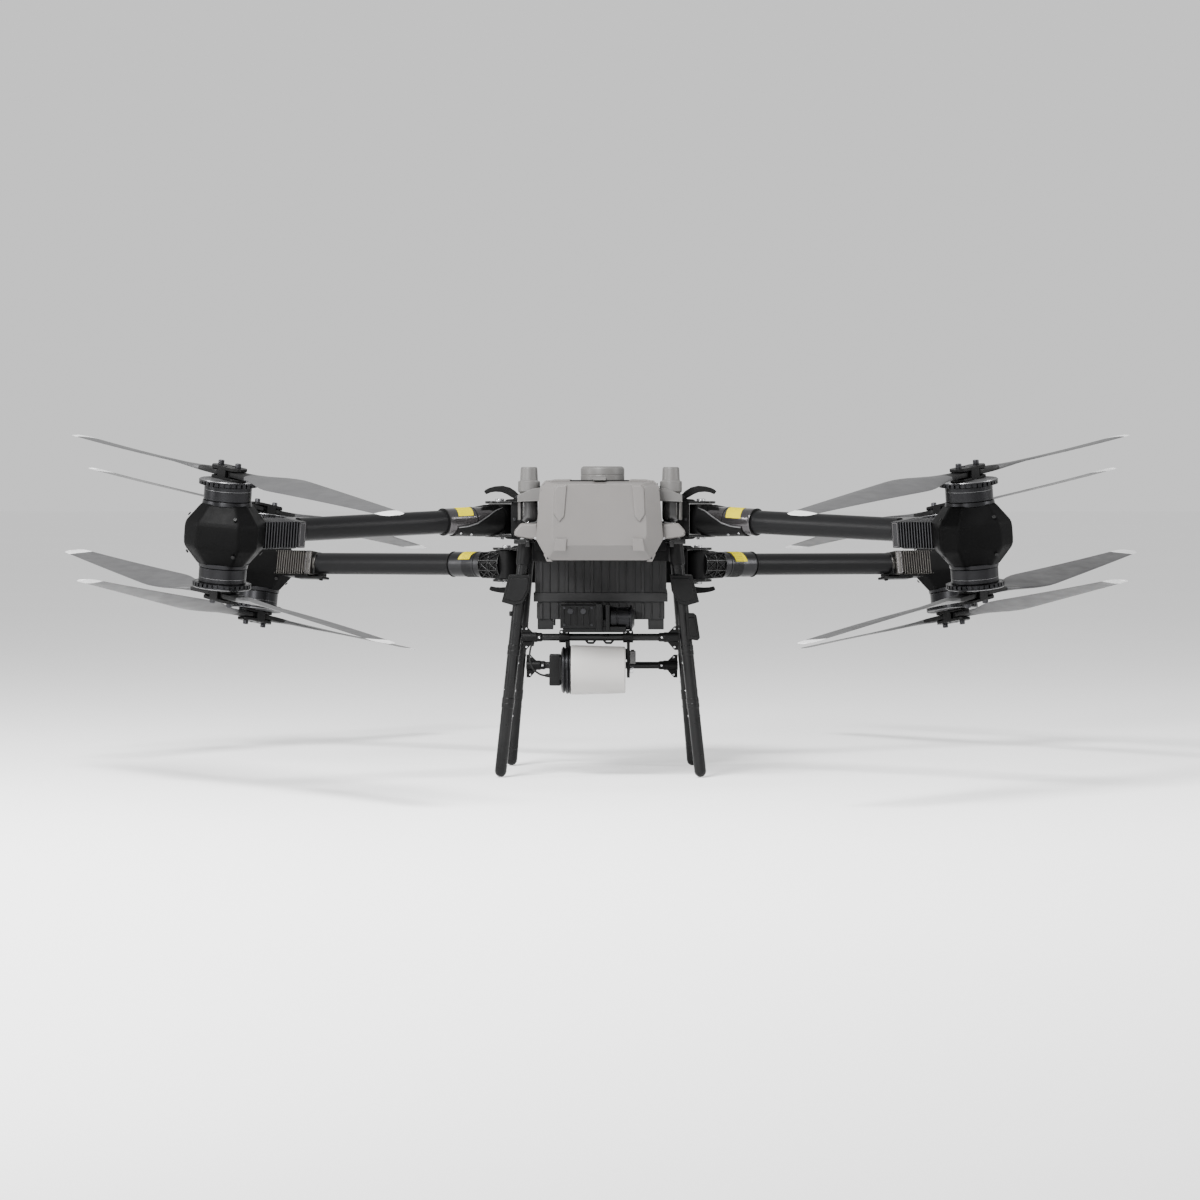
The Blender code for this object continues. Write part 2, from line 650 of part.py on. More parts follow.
def make_crossbar(name, foot_x, y, height, finish):
    """A tube between two legs, with a socket and a gusset at each end."""
    end = leg_x(foot_x, height) - LEG_RADIUS - 0.0025
    shapes = [rod((-end + 0.01, y, height), (end - 0.01, y, height), CROSSBAR_RADIUS)]
    for side in SIDES.values():
        shapes.append(rod((side * (end - 0.050), y, height), (side * end, y, height), SOCKET_RADIUS))
        outline = ((end - 0.034, height), (end - 0.002, height - 0.030), (end - 0.002, height + 0.026))
        rings = [[(side * x, depth, z) for x, z in outline] for depth in (y - 0.003, y + 0.003)]
        shapes.append(loft(rings))
    add_joined(name, shapes, finish)


def make_landing_gear(finishes):
    for side in SIDES.values():
        make_leg(side, "front", FRONT_FOOT_X, LEG_FRONT_Y, finishes["black"])
        make_leg(side, "rear", REAR_FOOT_X, LEG_REAR_Y, finishes["black"])
    make_crossbar("crossbar_front", FRONT_FOOT_X, LEG_FRONT_Y, FRONT_BAR_HEIGHT, finishes["black"])
    make_crossbar("crossbar_rear", REAR_FOOT_X, LEG_REAR_Y, REAR_BAR_HEIGHT, finishes["black"])


def main():
    clear_scene()
    finishes = {
        "carbon": surface("carbon_tube", (0.035, 0.037, 0.040), 0.35),
        "casting": surface("black_casting", (0.018, 0.018, 0.019), 0.55),
        "motor": surface("motor_metal", (0.060, 0.062, 0.066), 0.40, 0.6),
        "blade": surface("blade_composite", (0.160, 0.165, 0.172), 0.40),
        "black": surface("black_plastic", (0.020, 0.020, 0.021), 0.60),
        "rubber": surface("black_rubber", (0.016, 0.016, 0.016), 0.70),
        "cover": surface("grey_cover", (0.400, 0.390, 0.370), 0.45),
        "pale": surface("pale_grey", (0.330, 0.330, 0.320), 0.50),
        "white": surface("radar_white", (0.680, 0.680, 0.660), 0.45),
    }
    make_frame(finishes["casting"])
    make_nose(finishes["cover"])
    make_nose_latch(finishes["black"])
    make_electronics(finishes)
    make_tank(finishes["black"])
    make_tank_cap(finishes["black"])
    make_battery(finishes["black"])
    make_pump(finishes["black"])
    make_radar(finishes)
    make_radar_cable(finishes["rubber"])
    make_landing_gear(finishes)
    make_arms(finishes)


main()
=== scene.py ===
"""Finished look of the crop-spraying drone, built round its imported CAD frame.

Metres, in the frame's own axes: +Z up, the nose faces -Y, the aircraft's left side is at +X.
"""

import json
import math

import bmesh
import bpy
from mathutils import Matrix, Vector


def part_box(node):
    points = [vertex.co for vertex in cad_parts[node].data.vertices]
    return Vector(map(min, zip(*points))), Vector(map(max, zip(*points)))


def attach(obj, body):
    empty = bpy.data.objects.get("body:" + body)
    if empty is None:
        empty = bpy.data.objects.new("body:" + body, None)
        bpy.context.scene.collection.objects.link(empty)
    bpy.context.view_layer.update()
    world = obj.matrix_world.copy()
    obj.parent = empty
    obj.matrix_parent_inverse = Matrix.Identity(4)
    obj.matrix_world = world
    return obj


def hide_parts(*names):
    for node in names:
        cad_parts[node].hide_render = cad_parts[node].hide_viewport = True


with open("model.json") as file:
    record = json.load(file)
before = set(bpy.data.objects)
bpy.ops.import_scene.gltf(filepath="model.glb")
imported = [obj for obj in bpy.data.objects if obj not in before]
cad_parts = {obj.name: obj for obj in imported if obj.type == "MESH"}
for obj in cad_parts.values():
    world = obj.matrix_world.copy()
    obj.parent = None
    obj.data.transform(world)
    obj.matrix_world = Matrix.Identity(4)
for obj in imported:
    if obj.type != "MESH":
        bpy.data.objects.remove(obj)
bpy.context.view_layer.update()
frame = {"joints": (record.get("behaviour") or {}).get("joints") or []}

JOINTS = {joint["name"]: joint for joint in frame["joints"]}
SIDES = {"left": 1, "right": -1}
ENDS = ("front", "rear")
LEVELS = {"upper": 1, "lower": -1}

PROPELLER_RADIUS = 0.6875
TIP_LENGTH = 0.042
TUBE_RADIUS = 0.027
SLEEVE_RADIUS = 0.031
SLEEVE_LENGTH = 0.16
POD_ACROSS = 0.173
POD_HEIGHT = 0.145
CONTROLLER_START = 0.193
BELL_RADIUS = 0.0532
RIM_RADIUS = 0.066
LEG_RADIUS = 0.014
RADAR_Y = -0.2
BEVEL = 0.0012
SHARP_ANGLE = math.radians(32)
FEET = {"front": (0.236, -0.2), "rear": (0.222, 0.2)}
LEG_HEAD_X = 0.176
ANTENNA_COLLAR_RADIUS = 0.0255
CAMERA_DISTANCE = 10.5
CAMERA_TILT = math.radians(1.75)


# Materials


class Finish:
    """A Principled material that is built up one effect at a time, over object coordinates."""

    def __init__(self, name, colour, roughness, metallic=0.0, coat=0.0, specular=0.5):
        self.material = bpy.data.materials.new(name)
        self.material.use_nodes = True
        self.tree = self.material.node_tree
        self.shader = self.tree.nodes["Principled BSDF"]
        self.colour = (*colour, 1.0)
        self.roughness = roughness
        self.shader.inputs["Base Color"].default_value = self.colour
        self.shader.inputs["Roughness"].default_value = roughness
        self.shader.inputs["Metallic"].default_value = metallic
        self.shader.inputs["Coat Weight"].default_value = coat
        self.shader.inputs["Specular IOR Level"].default_value = specular
        self.shader.inputs["Coat Roughness"].default_value = 0.12
        self.place = self.tree.nodes.new("ShaderNodeTexCoord").outputs["Object"]
        self.relief = None

    def join(self, source, target):
        self.tree.links.new(source, target)

    def noise(self, scale, detail=3.0, stretch=None):
        texture = self.tree.nodes.new("ShaderNodeTexNoise")
        texture.inputs["Scale"].default_value = scale
        texture.inputs["Detail"].default_value = detail
        place = self.place
        if stretch:
            mapping = self.tree.nodes.new("ShaderNodeMapping")
            mapping.inputs["Scale"].default_value = stretch
            self.join(self.place, mapping.inputs["Vector"])
            place = mapping.outputs["Vector"]
        self.join(place, texture.inputs["Vector"])
        return texture.outputs["Fac"]

    def spread(self, source, low, high, start=0.3, end=0.7):
        """Maps a pattern to the range low to high."""
        node = self.tree.nodes.new("ShaderNodeMapRange")
        node.inputs["From Min"].default_value = start
        node.inputs["From Max"].default_value = end
        node.inputs["To Min"].default_value = low
        node.inputs["To Max"].default_value = high
        self.join(source, node.inputs["Value"])
        return node.outputs["Result"]

    def tint(self, source, start, end, low, high):
        """Colours the surface from low to high as the pattern goes from start to end."""
        ramp = self.tree.nodes.new("ShaderNodeValToRGB")
        ramp.color_ramp.elements[0].position = start
        ramp.color_ramp.elements[1].position = end
        ramp.color_ramp.elements[0].color = (*low, 1.0)
        ramp.color_ramp.elements[1].color = (*high, 1.0)
        self.join(source, ramp.inputs["Fac"])
        self.join(ramp.outputs["Color"], self.shader.inputs["Base Color"])
        return self

    def mottle(self, scale, amount):
        """Slight variation of the base colour."""
        low = tuple(value * (1 - amount) for value in self.colour[:3])
        high = tuple(value * (1 + amount) for value in self.colour[:3])
        return self.tint(self.noise(scale, 4.0), 0.3, 0.7, low, high)

    def rough(self, scale, amount, stretch=None):
        """Variation of the roughness, as from handling and dust."""
        pattern = self.noise(scale, 5.0, stretch)
        low, high = self.roughness - amount, self.roughness + amount
        self.join(self.spread(pattern, low, high), self.shader.inputs["Roughness"])
        return self

    def bump(self, height, strength, distance):
        """Adds relief on top of any that is there already."""
        node = self.tree.nodes.new("ShaderNodeBump")
        node.inputs["Strength"].default_value = strength
        node.inputs["Distance"].default_value = distance
        self.join(height, node.inputs["Height"])
        if self.relief:
            self.join(self.relief, node.inputs["Normal"])
        self.relief = node.outputs["Normal"]
        self.join(self.relief, self.shader.inputs["Normal"])
        return self

    def grain(self, scale, strength, distance=0.0004, stretch=None):
        return self.bump(self.noise(scale, 2.0, stretch), strength, distance)

    def math(self, operation, first, second=None):
        node = self.tree.nodes.new("ShaderNodeMath")
        node.operation = operation
        for value, socket in zip((first, second), node.inputs):
            if isinstance(value, bpy.types.NodeSocket):
                self.join(value, socket)
            elif value is not None:
                socket.default_value = value
        return node.outputs["Value"]


def textured_black(name, level, roughness, scale=900.0, strength=0.25, specular=0.16):
    finish = Finish(name, (level, level, level * 1.03), roughness, specular=specular)
    return finish.mottle(14.0, 0.25).rough(30.0, 0.07).grain(scale, strength).material


def carbon_twill():
    """Two-by-two twill of 2 mm tows; the UVs count tows round and along the tube."""
    finish = Finish("carbon_twill", (0.012, 0.012, 0.013), 0.32, specular=0.07)
    finish.place = finish.tree.nodes.new("ShaderNodeTexCoord").outputs["UV"]
    split = finish.tree.nodes.new("ShaderNodeSeparateXYZ")
    finish.join(finish.place, split.inputs["Vector"])
    across, along = split.outputs["X"], split.outputs["Y"]
    step = finish.math("ADD", finish.math("FLOOR", across), finish.math("FLOOR", along))
    over = finish.math("LESS_THAN", finish.math("MODULO", finish.math("ABSOLUTE", step), 4.0), 1.5)
    crowns = [
        finish.math("SINE", finish.math("MULTIPLY", finish.math("FRACT", way), math.pi))
        for way in (across, along)
    ]
    mix = finish.tree.nodes.new("ShaderNodeMix")
    finish.join(over, mix.inputs["Factor"])
    finish.join(crowns[0], mix.inputs[2])
    finish.join(crowns[1], mix.inputs[3])
    crown = mix.outputs[0]
    # The over-tows are painted lighter as a painted sheen of the fibres, and the middle of each tow is
    # painted lighter as a painted highlight on its rounded crown.
    painted_sheen_and_highlight = finish.math(
        "ADD", finish.math("MULTIPLY", over, 0.55), finish.math("MULTIPLY", crown, 0.35),
    )
    finish.tint(painted_sheen_and_highlight, 0.0, 1.0, (0.0034, 0.0034, 0.0036), (0.0078, 0.0078, 0.0082))
    return finish.bump(crown, 0.22, 0.0002).material


def brushed(name, colour, roughness, direction):
    finish = Finish(name, colour, roughness, metallic=0.9)
    return finish.mottle(20.0, 0.1).rough(60.0, 0.08, direction).grain(
        400.0, 0.12, 0.0002, direction,
    ).material


def make_finishes():
    blade = Finish("blade_composite", (0.036, 0.036, 0.037), 0.42, specular=0.22)
    blade.mottle(9.0, 0.1).rough(24.0, 0.06).grain(300.0, 0.05, 0.0003, (1.0, 0.05, 1.0))
    tip = Finish("blade_tip", (0.5, 0.5, 0.5), 0.38).mottle(30.0, 0.04).rough(30.0, 0.05)
    cover = Finish("cover_grey", (0.088, 0.083, 0.08), 0.4, specular=0.35)
    cover.mottle(5.0, 0.035).rough(18.0, 0.05).grain(1400.0, 0.1, 0.0002)
    pale = Finish(
        "antenna_grey", (0.068, 0.066, 0.064), 0.44, specular=0.3,
    ).mottle(9.0, 0.05).rough(25.0, 0.05)
    pale.grain(1200.0, 0.12, 0.0002)
    drum = Finish("radar_white", (0.3, 0.292, 0.282), 0.38, specular=0.35)
    drum.mottle(7.0, 0.03).rough(20.0, 0.05).grain(900.0, 0.05, 0.0002)
    label = Finish(
        "label_yellow", (0.36, 0.3, 0.0), 0.7, specular=0.04,
    ).mottle(40.0, 0.05).rough(50.0, 0.06)
    lamp = Finish("lamp_housing", (0.02, 0.0195, 0.0195), 0.24, metallic=0.2, specular=0.6)
    lamp.mottle(15.0, 0.1).rough(30.0, 0.05).grain(900.0, 0.05, 0.0002)
    rubber = Finish("cable_rubber", (0.004, 0.004, 0.004), 0.55, specular=0.2)
    rubber.mottle(30.0, 0.15).grain(600.0, 0.1)
    return {
        "blade": blade.material,
        "tip": tip.material,
        "cover": cover.material,
        "pale": pale.material,
        "drum": drum.material,
        "label": label.material,
        "lamp": lamp.material,
        "rubber": rubber.material,
        "carbon": carbon_twill(),
        "casting": textured_black("black_casting", 0.0024, 0.42, specular=0.09),
        "plastic": textured_black("black_plastic", 0.0032, 0.44, 1300.0, 0.18, 0.11),
        "pod": textured_black("pod_shell", 0.0017, 0.5, 420.0, 0.55, 0.035),
        "tank": textured_black("tank_plastic", 0.012, 0.48, 700.0, 0.2, 0.18),
        "leg": textured_black("leg_coating", 0.004, 0.32, 1500.0, 0.1, 0.16),
        "clamp": textured_black("clamp_enamel", 0.0028, 0.26, 1500.0, 0.06, 0.25),
        "bell": brushed("motor_bell", (0.012, 0.012, 0.013), 0.36, (1.0, 1.0, 0.05)),
        "rim": brushed("motor_rim", (0.15, 0.15, 0.153), 0.36, (1.0, 1.0, 0.05)),
        "sleeve": brushed("sleeve_metal", (0.066, 0.063, 0.065), 0.22, (0.05, 1.0, 1.0)),
        "end_plate": brushed("end_plate", (0.032, 0.0305, 0.0285), 0.32, (0.05, 1.0, 1.0)),
        "sleeve_dark": brushed("sleeve_dark", (0.022, 0.022, 0.023), 0.34, (0.05, 1.0, 1.0)),
        "steel": brushed("bolt_steel", (0.45, 0.45, 0.46), 0.28, (1.0, 1.0, 0.2)),
        "dark_steel": brushed("dark_bolt", (0.024, 0.024, 0.026), 0.34, (1.0, 1.0, 0.2)),
        "heatsink": brushed("heatsink_black", (0.028, 0.028, 0.03), 0.36, (1.0, 0.1, 1.0)),
        # A lighter, bronze-tinted copy of the heatsink finish, used on the rear controllers.
        "heatsink_rear": brushed("heatsink_bronze", (0.036, 0.034, 0.0315), 0.4, (1.0, 0.1, 1.0)),
    }


FINISHES = make_finishes()


# Shapes


def loft(rings, capped=True):
    """A shape through rings of points, each given in the same order."""
    shape = bmesh.new()
    rows = [[shape.verts.new(point) for point in ring] for ring in rings]
    for row, following in zip(rows, rows[1:]):
        for index, corner in enumerate(row):
            after = (index + 1) % len(row)
            shape.faces.new((corner, row[after], following[after], following[index]))
    if capped:
        shape.faces.new(reversed(rows[0]))
        shape.faces.new(rows[-1])
    bmesh.ops.recalc_face_normals(shape, faces=shape.faces)
    return shape


def moved(shape, matrix):
    bmesh.ops.transform(shape, matrix=matrix, verts=shape.verts)
    bmesh.ops.recalc_face_normals(shape, faces=shape.faces)
    return shape


def shifted(shape, x=0.0, y=0.0, z=0.0):
    return moved(shape, Matrix.Translation((x, y, z)))


def box(low, high):
    corners = ((0, 0), (1, 0), (1, 1), (0, 1))
    pick = (low, high)
    return loft([[(pick[a][0], pick[b][1], level[2]) for a, b in corners] for level in pick])


def block(centre, size):
    half = Vector(size) / 2
    return box(Vector(centre) - half, Vector(centre) + half)


def turned(profile, sides=48):
    """A closed shape turned about Z from (radius, height) steps."""
    turns = [2 * math.pi * (index + 0.5) / sides for index in range(sides)]
    return loft([[(r * math.cos(t), r * math.sin(t), z) for t in turns] for r, z in profile])


def aimed(start, end):
    """Matrix that carries +Z from start towards end."""
    start, end = Vector(start), Vector(end)
    return Matrix.Translation(start) @ (end - start).to_track_quat("Z", "Y").to_matrix().to_4x4()


def rod(start, end, radius, end_radius=None, sides=32):
    length = (Vector(end) - Vector(start)).length
    return moved(turned(((radius, 0), (end_radius or radius, length)), sides), aimed(start, end))


def plate(outline, low, high, axis="y"):
    """A flat outline given thickness from low to high along an axis."""
    order = {
        "x": lambda a, b, depth: (depth, a, b),
        "y": lambda a, b, depth: (a, depth, b),
        "z": lambda a, b, depth: (a, b, depth),
    }[axis]
    return loft([[order(a, b, depth) for a, b in outline] for depth in (low, high)])


def arc(centre, radius, start, end, steps=8):
    """Points on an arc, angles in degrees."""
    turns = [math.radians(start + (end - start) * step / steps) for step in range(steps + 1)]
    return [(centre[0] + radius * math.cos(t), centre[1] + radius * math.sin(t)) for t in turns]


def mirrored(outline, side):
    return [(side * x, z) for x, z in outline]


def inset(outline, centre, amount, side, y):
    """A ring at y from an (x, z) outline drawn in towards its centre."""
    centre = Vector(centre)
    ring = []
    for corner in outline:
        point = Vector(corner)
        point += (centre - point).normalized() * amount
        ring.append((side * point.x, y, point.y))
    return ring


def on_tube(distance, radius, degrees, front=1):
    """A point beside a tube that lies along X, at an angle up from its front."""
    turn = math.radians(degrees)
    return Vector((distance, front * radius * math.cos(turn), radius * math.sin(turn)))


def strip(path, half_width):
    """Outline of a strip of the given half widths about a path of (x, z) points."""
    left, right = [], []
    for index, point in enumerate(path):
        before, after = path[max(index - 1, 0)], path[min(index + 1, len(path) - 1)]
        way = Vector((after[0] - before[0], after[1] - before[1])).normalized()
        width = half_width[index] if isinstance(half_width, (list, tuple)) else half_width
        left.append((point[0] - way.y * width, point[1] + way.x * width))
        right.append((point[0] + way.y * width, point[1] - way.x * width))
    return left + right[::-1]


def bolt(at, way, radius, height):
    """A socket-head screw standing on a surface at a point."""
    profile = (
        (radius * 0.9, -0.001), (radius, 0.0), (radius, height * 0.85), (radius * 0.86, height),
        (radius * 0.45, height), (radius * 0.45, height * 0.4),
    )
    return moved(turned(profile, 16), aimed(at, Vector(at) + Vector(way)))


def merged(shapes, mesh):
    whole = bmesh.new()
    for shape in shapes:
        part = bpy.data.meshes.new("part")
        shape.to_mesh(part)
        shape.free()
        whole.from_mesh(part)
        bpy.data.meshes.remove(part)
    whole.to_mesh(mesh)
    whole.free()


def piece(name, shapes, finish, body, matrix=None, bevel=BEVEL, stands_for=()):
    """One visible piece made of closed shapes, with softened edges, riding on a CAD body."""
    mesh = bpy.data.meshes.new(name)
    merged(shapes, mesh)
    mesh.materials.append(FINISHES[finish])
    mesh.shade_smooth()
    made = bpy.data.objects.new(name, mesh)
    bpy.context.scene.collection.objects.link(made)
    made.matrix_world = matrix or Matrix()
    if bevel:
        soften = made.modifiers.new("edges", "BEVEL")
        soften.width = bevel
        soften.segments = 2
        soften.limit_method = "ANGLE"
        soften.angle_limit = SHARP_ANGLE
        made.modifiers.new("normals", "WEIGHTED_NORMAL").keep_sharp = True
    else:
        mesh.set_sharp_from_angle(angle=SHARP_ANGLE)
    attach(made, body)
    if stands_for:
        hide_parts(*stands_for)
    return made


def fixed(name, shapes, finish, bevel, *stands_for):
    """A piece on the airframe, built in the frame's own axes."""
    piece(name, shapes, finish, "airframe", None, bevel, stands_for)


# Places taken from the frame


def basis(x_way, z_way, origin):
    """Matrix with Z along z_way and X as near x_way as it can be."""
    z_axis = z_way.normalized()
    x_axis = (x_way - z_axis * x_way.dot(z_axis)).normalized()
    y_axis = z_axis.cross(x_axis)
    rotation = Matrix((x_axis, y_axis, z_axis)).transposed().to_4x4()
    return Matrix.Translation(origin) @ rotation


class Arm:
    """Where one arm's parts are, read from its joints."""

    def __init__(self, end, side_name):
        self.end = end
        self.side = SIDES[side_name]
        self.label = f"{end}_{side_name}"
        self.body = f"arm_{self.label}"
        self.hinge = Vector(JOINTS[f"arm_fold_{self.label}"]["pos_m"])
        upper = Vector(JOINTS[f"spin_{self.label}_upper"]["pos_m"])
        lower = Vector(JOINTS[f"spin_{self.label}_lower"]["pos_m"])
        self.centre = (upper + lower) / 2
        self.reach = (self.centre - self.hinge).length
        self.tube = basis(Vector((0, 0, 1)), self.centre - self.hinge, self.hinge)
        self.pod = basis(self.centre - self.hinge, upper - lower, self.centre)
        self.lift = 1 if end == "front" else -1

    def rotor(self, level):
        return self.pod @ Matrix.Rotation(0 if level > 0 else math.pi, 4, "X")


# Propellers


BLADE_PIVOT = 0.035
BLADE_PLANE = 0.136
BLADE_LENGTH = PROPELLER_RADIUS - BLADE_PIVOT
ROOT_HALF_WIDTH = 0.0185
ROOT_THICKNESS = 0.015


def eased(value):
    value = min(1.0, max(0.0, value))
    return value * value * (3 - 2 * value)


def blade_chord(distance):
    inner = 2 * ROOT_HALF_WIDTH + 0.073 * eased((distance - 0.022) / 0.165)
    taper = max(0.0, distance / BLADE_LENGTH - 0.3) / 0.7
    tip = math.sqrt(max(0.0, 1 - max(0.0, (distance - BLADE_LENGTH + 0.02) / 0.0205) ** 2))
    return inner * (1 - 0.5 * taper) * (0.25 + 0.75 * tip)


def blade_ring(distance, hand, around):
    """One section of a blade: a flat eye at the root that turns into a cambered aerofoil."""
    share = max(0.0, distance / BLADE_LENGTH)
    fade = eased((distance - 0.022) / 0.11)
    chord = blade_chord(distance)
    if distance < 0:
        chord *= math.sqrt(max(0.05, 1 - (distance / (ROOT_HALF_WIDTH + 0.0005)) ** 2))
    pitch = math.radians(hand * fade * (17 - 11 * share))
    thickness = ROOT_THICKNESS * (1 - fade) + fade * (0.0105 - 0.0072 * share)
    sweep = hand * fade * (0.012 - 0.03 * share**2)
    ring = []
    for index in range(around):
        turn = 2 * math.pi * index / around
        across = 0.5 * math.cos(turn)
        bulge = math.sin(turn)
        flat = math.copysign(abs(bulge) ** 0.35, bulge)
        foil = bulge * (0.62 + 0.55 * hand * across) + 0.5 * (1 - 4 * across * across)
        up = thickness / 2 * ((1 - fade) * flat + fade * foil)
        x = across * chord
        side = sweep + x * math.cos(pitch) - up * math.sin(pitch)
        ring.append((side, distance, x * math.sin(pitch) * 0.8 + up * math.cos(pitch)))
    return ring


def blade_distances():
    root = [-ROOT_HALF_WIDTH * math.cos(math.pi / 2 * step / 5) for step in range(5)]
    body = [0.008 + (BLADE_LENGTH - 0.03) * step / 26 for step in range(27)]
    tip = [BLADE_LENGTH - 0.02 + 0.02 * math.sin(math.pi / 2 * step / 5) for step in range(1, 6)]
    return root + body + tip


def make_blade(arm, level, level_name, end, end_name):
    name = f"blade_{arm.label}_{level_name}_{end_name}"
    hand = arm.side * level * (1 if arm.end == "front" else -1)
    shape = loft([blade_ring(distance, hand, 20) for distance in blade_distances()])
    turn = Matrix.Rotation(0 if end > 0 else math.pi, 4, "Z")
    place = arm.rotor(level) @ turn @ Matrix.Translation((0, BLADE_PIVOT, BLADE_PLANE))
    made = piece(f"{name}_skin", [shape], "blade", name, place, 0, (name,))
    for finish in ("tip", "plastic"):
        made.data.materials.append(FINISHES[finish])
    for face in made.data.polygons:
        along = face.center.y + 0.25 * hand * face.center.x
        if face.center.y > BLADE_LENGTH - TIP_LENGTH:
            face.material_index = 1
        elif along < 0.058:
            face.material_index = 2


def make_rotor(arm, level, level_name):
    name = f"rotor_{arm.label}_{level_name}"
    place = arm.rotor(level)
    bell = turned(
        (
            (BELL_RADIUS - 0.003, 0.0752), (BELL_RADIUS, 0.0765), (BELL_RADIUS, 0.0975),
            (BELL_RADIUS - 0.0006, 0.0978), (BELL_RADIUS - 0.0006, 0.0987), (BELL_RADIUS, 0.0989),
            (BELL_RADIUS, 0.1075), (BELL_RADIUS - 0.0035, 0.109), (BELL_RADIUS - 0.0035, 0.1165),
        ),
        64,
    )
    piece(f"{name}_bell", [bell], "bell", name, place, 0.0006, (name,))
    groove = BELL_RADIUS - 0.0003
    line = turned(
        ((groove - 0.0009, 0.0979), (groove, 0.098), (groove, 0.0986), (groove - 0.0009, 0.0987)), 64,
    )
    piece(f"{name}_line", [line], "rim", name, place, 0)
    flange = [
        turned(
            ((RIM_RADIUS - 0.01, 0.1088), (RIM_RADIUS - 0.005, 0.11), (RIM_RADIUS - 0.005, 0.118)), 64,
        )
    ]
    for index in range(32):
        tooth = block((RIM_RADIUS - 0.004, 0, 0.1135), (0.007, 0.0085, 0.008))
        flange.append(moved(tooth, Matrix.Rotation(2 * math.pi * index / 32, 4, "Z")))
    piece(f"{name}_flange", flange, "bell", name, place, 0.0005)
    rim = turned(
        (
            (RIM_RADIUS - 0.001, 0.1168), (RIM_RADIUS, 0.1175), (RIM_RADIUS, 0.1198),
        ),
        72,
    )
    piece(f"{name}_rim", [rim], "bell", name, place, 0.0005)
    face = turned(((RIM_RADIUS - 0.0012, 0.1195), (RIM_RADIUS - 0.0016, 0.1212), (0.024, 0.122)), 72)
    piece(f"{name}_face", [face], "rim", name, place, 0.0003)
    hub = [turned(((0.0215, 0.1215), (0.0195, 0.129), (0.0195, 0.15)), 32)]
    eye = 0.0205
    for low, high in ((0.1222, 0.1276), (0.1442, 0.1512)):
        outline = arc((0, BLADE_PIVOT), eye, 0, 180, 12) + arc((0, -BLADE_PIVOT), eye, 180, 360, 12)
        hub.append(plate(outline, low, high, "z"))
    hub.append(block((0, 0, 0.136), (0.042, 0.031, 0.026)))
    for way in (1, -1):
        hub.append(block((0, way * 0.0535, 0.1478), (0.016, 0.01, 0.0066)))
    piece(f"{name}_hub", hub, "casting", name, place, 0.001)
    screws = []
    for way in (1, -1):
        screws.append(bolt((0, way * BLADE_PIVOT, 0.151), (0, 0, 1), 0.0068, 0.0105))
        screws.append(bolt((way * 0.01, 0, 0.151), (0, 0, 1), 0.0034, 0.0018))
    piece(f"{name}_screws", screws, "dark_steel", name, place, 0.0004)


# Motor pods and speed controllers


def pod_ring(share, height):
    """A square with cut corners, its broad faces at 45 degrees to the arm."""
    reach = 0.965 * POD_ACROSS / 2 * share
    half_face = 0.58 * reach
    ring = []
    for quarter in range(4):
        turn = Matrix.Rotation(math.pi / 4 + math.pi / 2 * quarter, 2)
        ring += [turn @ Vector((reach, side)) for side in (-half_face, half_face)]
    return [(point.x, point.y, height) for point in ring]


def make_pod(arm):
    name = f"motor_pod_{arm.label}"
    half = POD_HEIGHT / 2 - 0.004
    knee = 0.4 * half
    steps = ((0.62, -half), (0.985, -knee), (1.0, -0.012), (1.0, 0.012), (0.985, knee), (0.62, half))
    shell = [loft([pod_ring(share, height) for share, height in steps])]
    made = piece(f"{name}_shell", shell, "pod", arm.body, arm.pod, 0.006, (name,))
    made.modifiers["edges"].segments = 4
    made.modifiers["edges"].angle_limit = math.radians(12)
    collars = []
    for level in (1, -1):
        ends = ((0.056, level * (half - 0.003)), (0.0545, level * (half + 0.0062)))
        collars.append(turned(ends if level > 0 else ends[::-1], 56))
    piece(f"{name}_collars", collars, "bell", arm.body, arm.pod, 0.0006)
    screws = []
    across = POD_ACROSS / 2
    for index in range(4):
        turn = Matrix.Rotation(math.pi / 4 + math.pi / 2 * index, 4, "Z")
        for level in (1, -1):
            at = Vector((across - 0.011, 0.037, level * 0.042))
            screws.append(moved(bolt(at, (1, 0, level * 0.75), 0.0042, 0.0016), turn))
    piece(f"{name}_screws", screws, "rubber", arm.body, arm.pod, 0.0003)
    make_controller(arm)


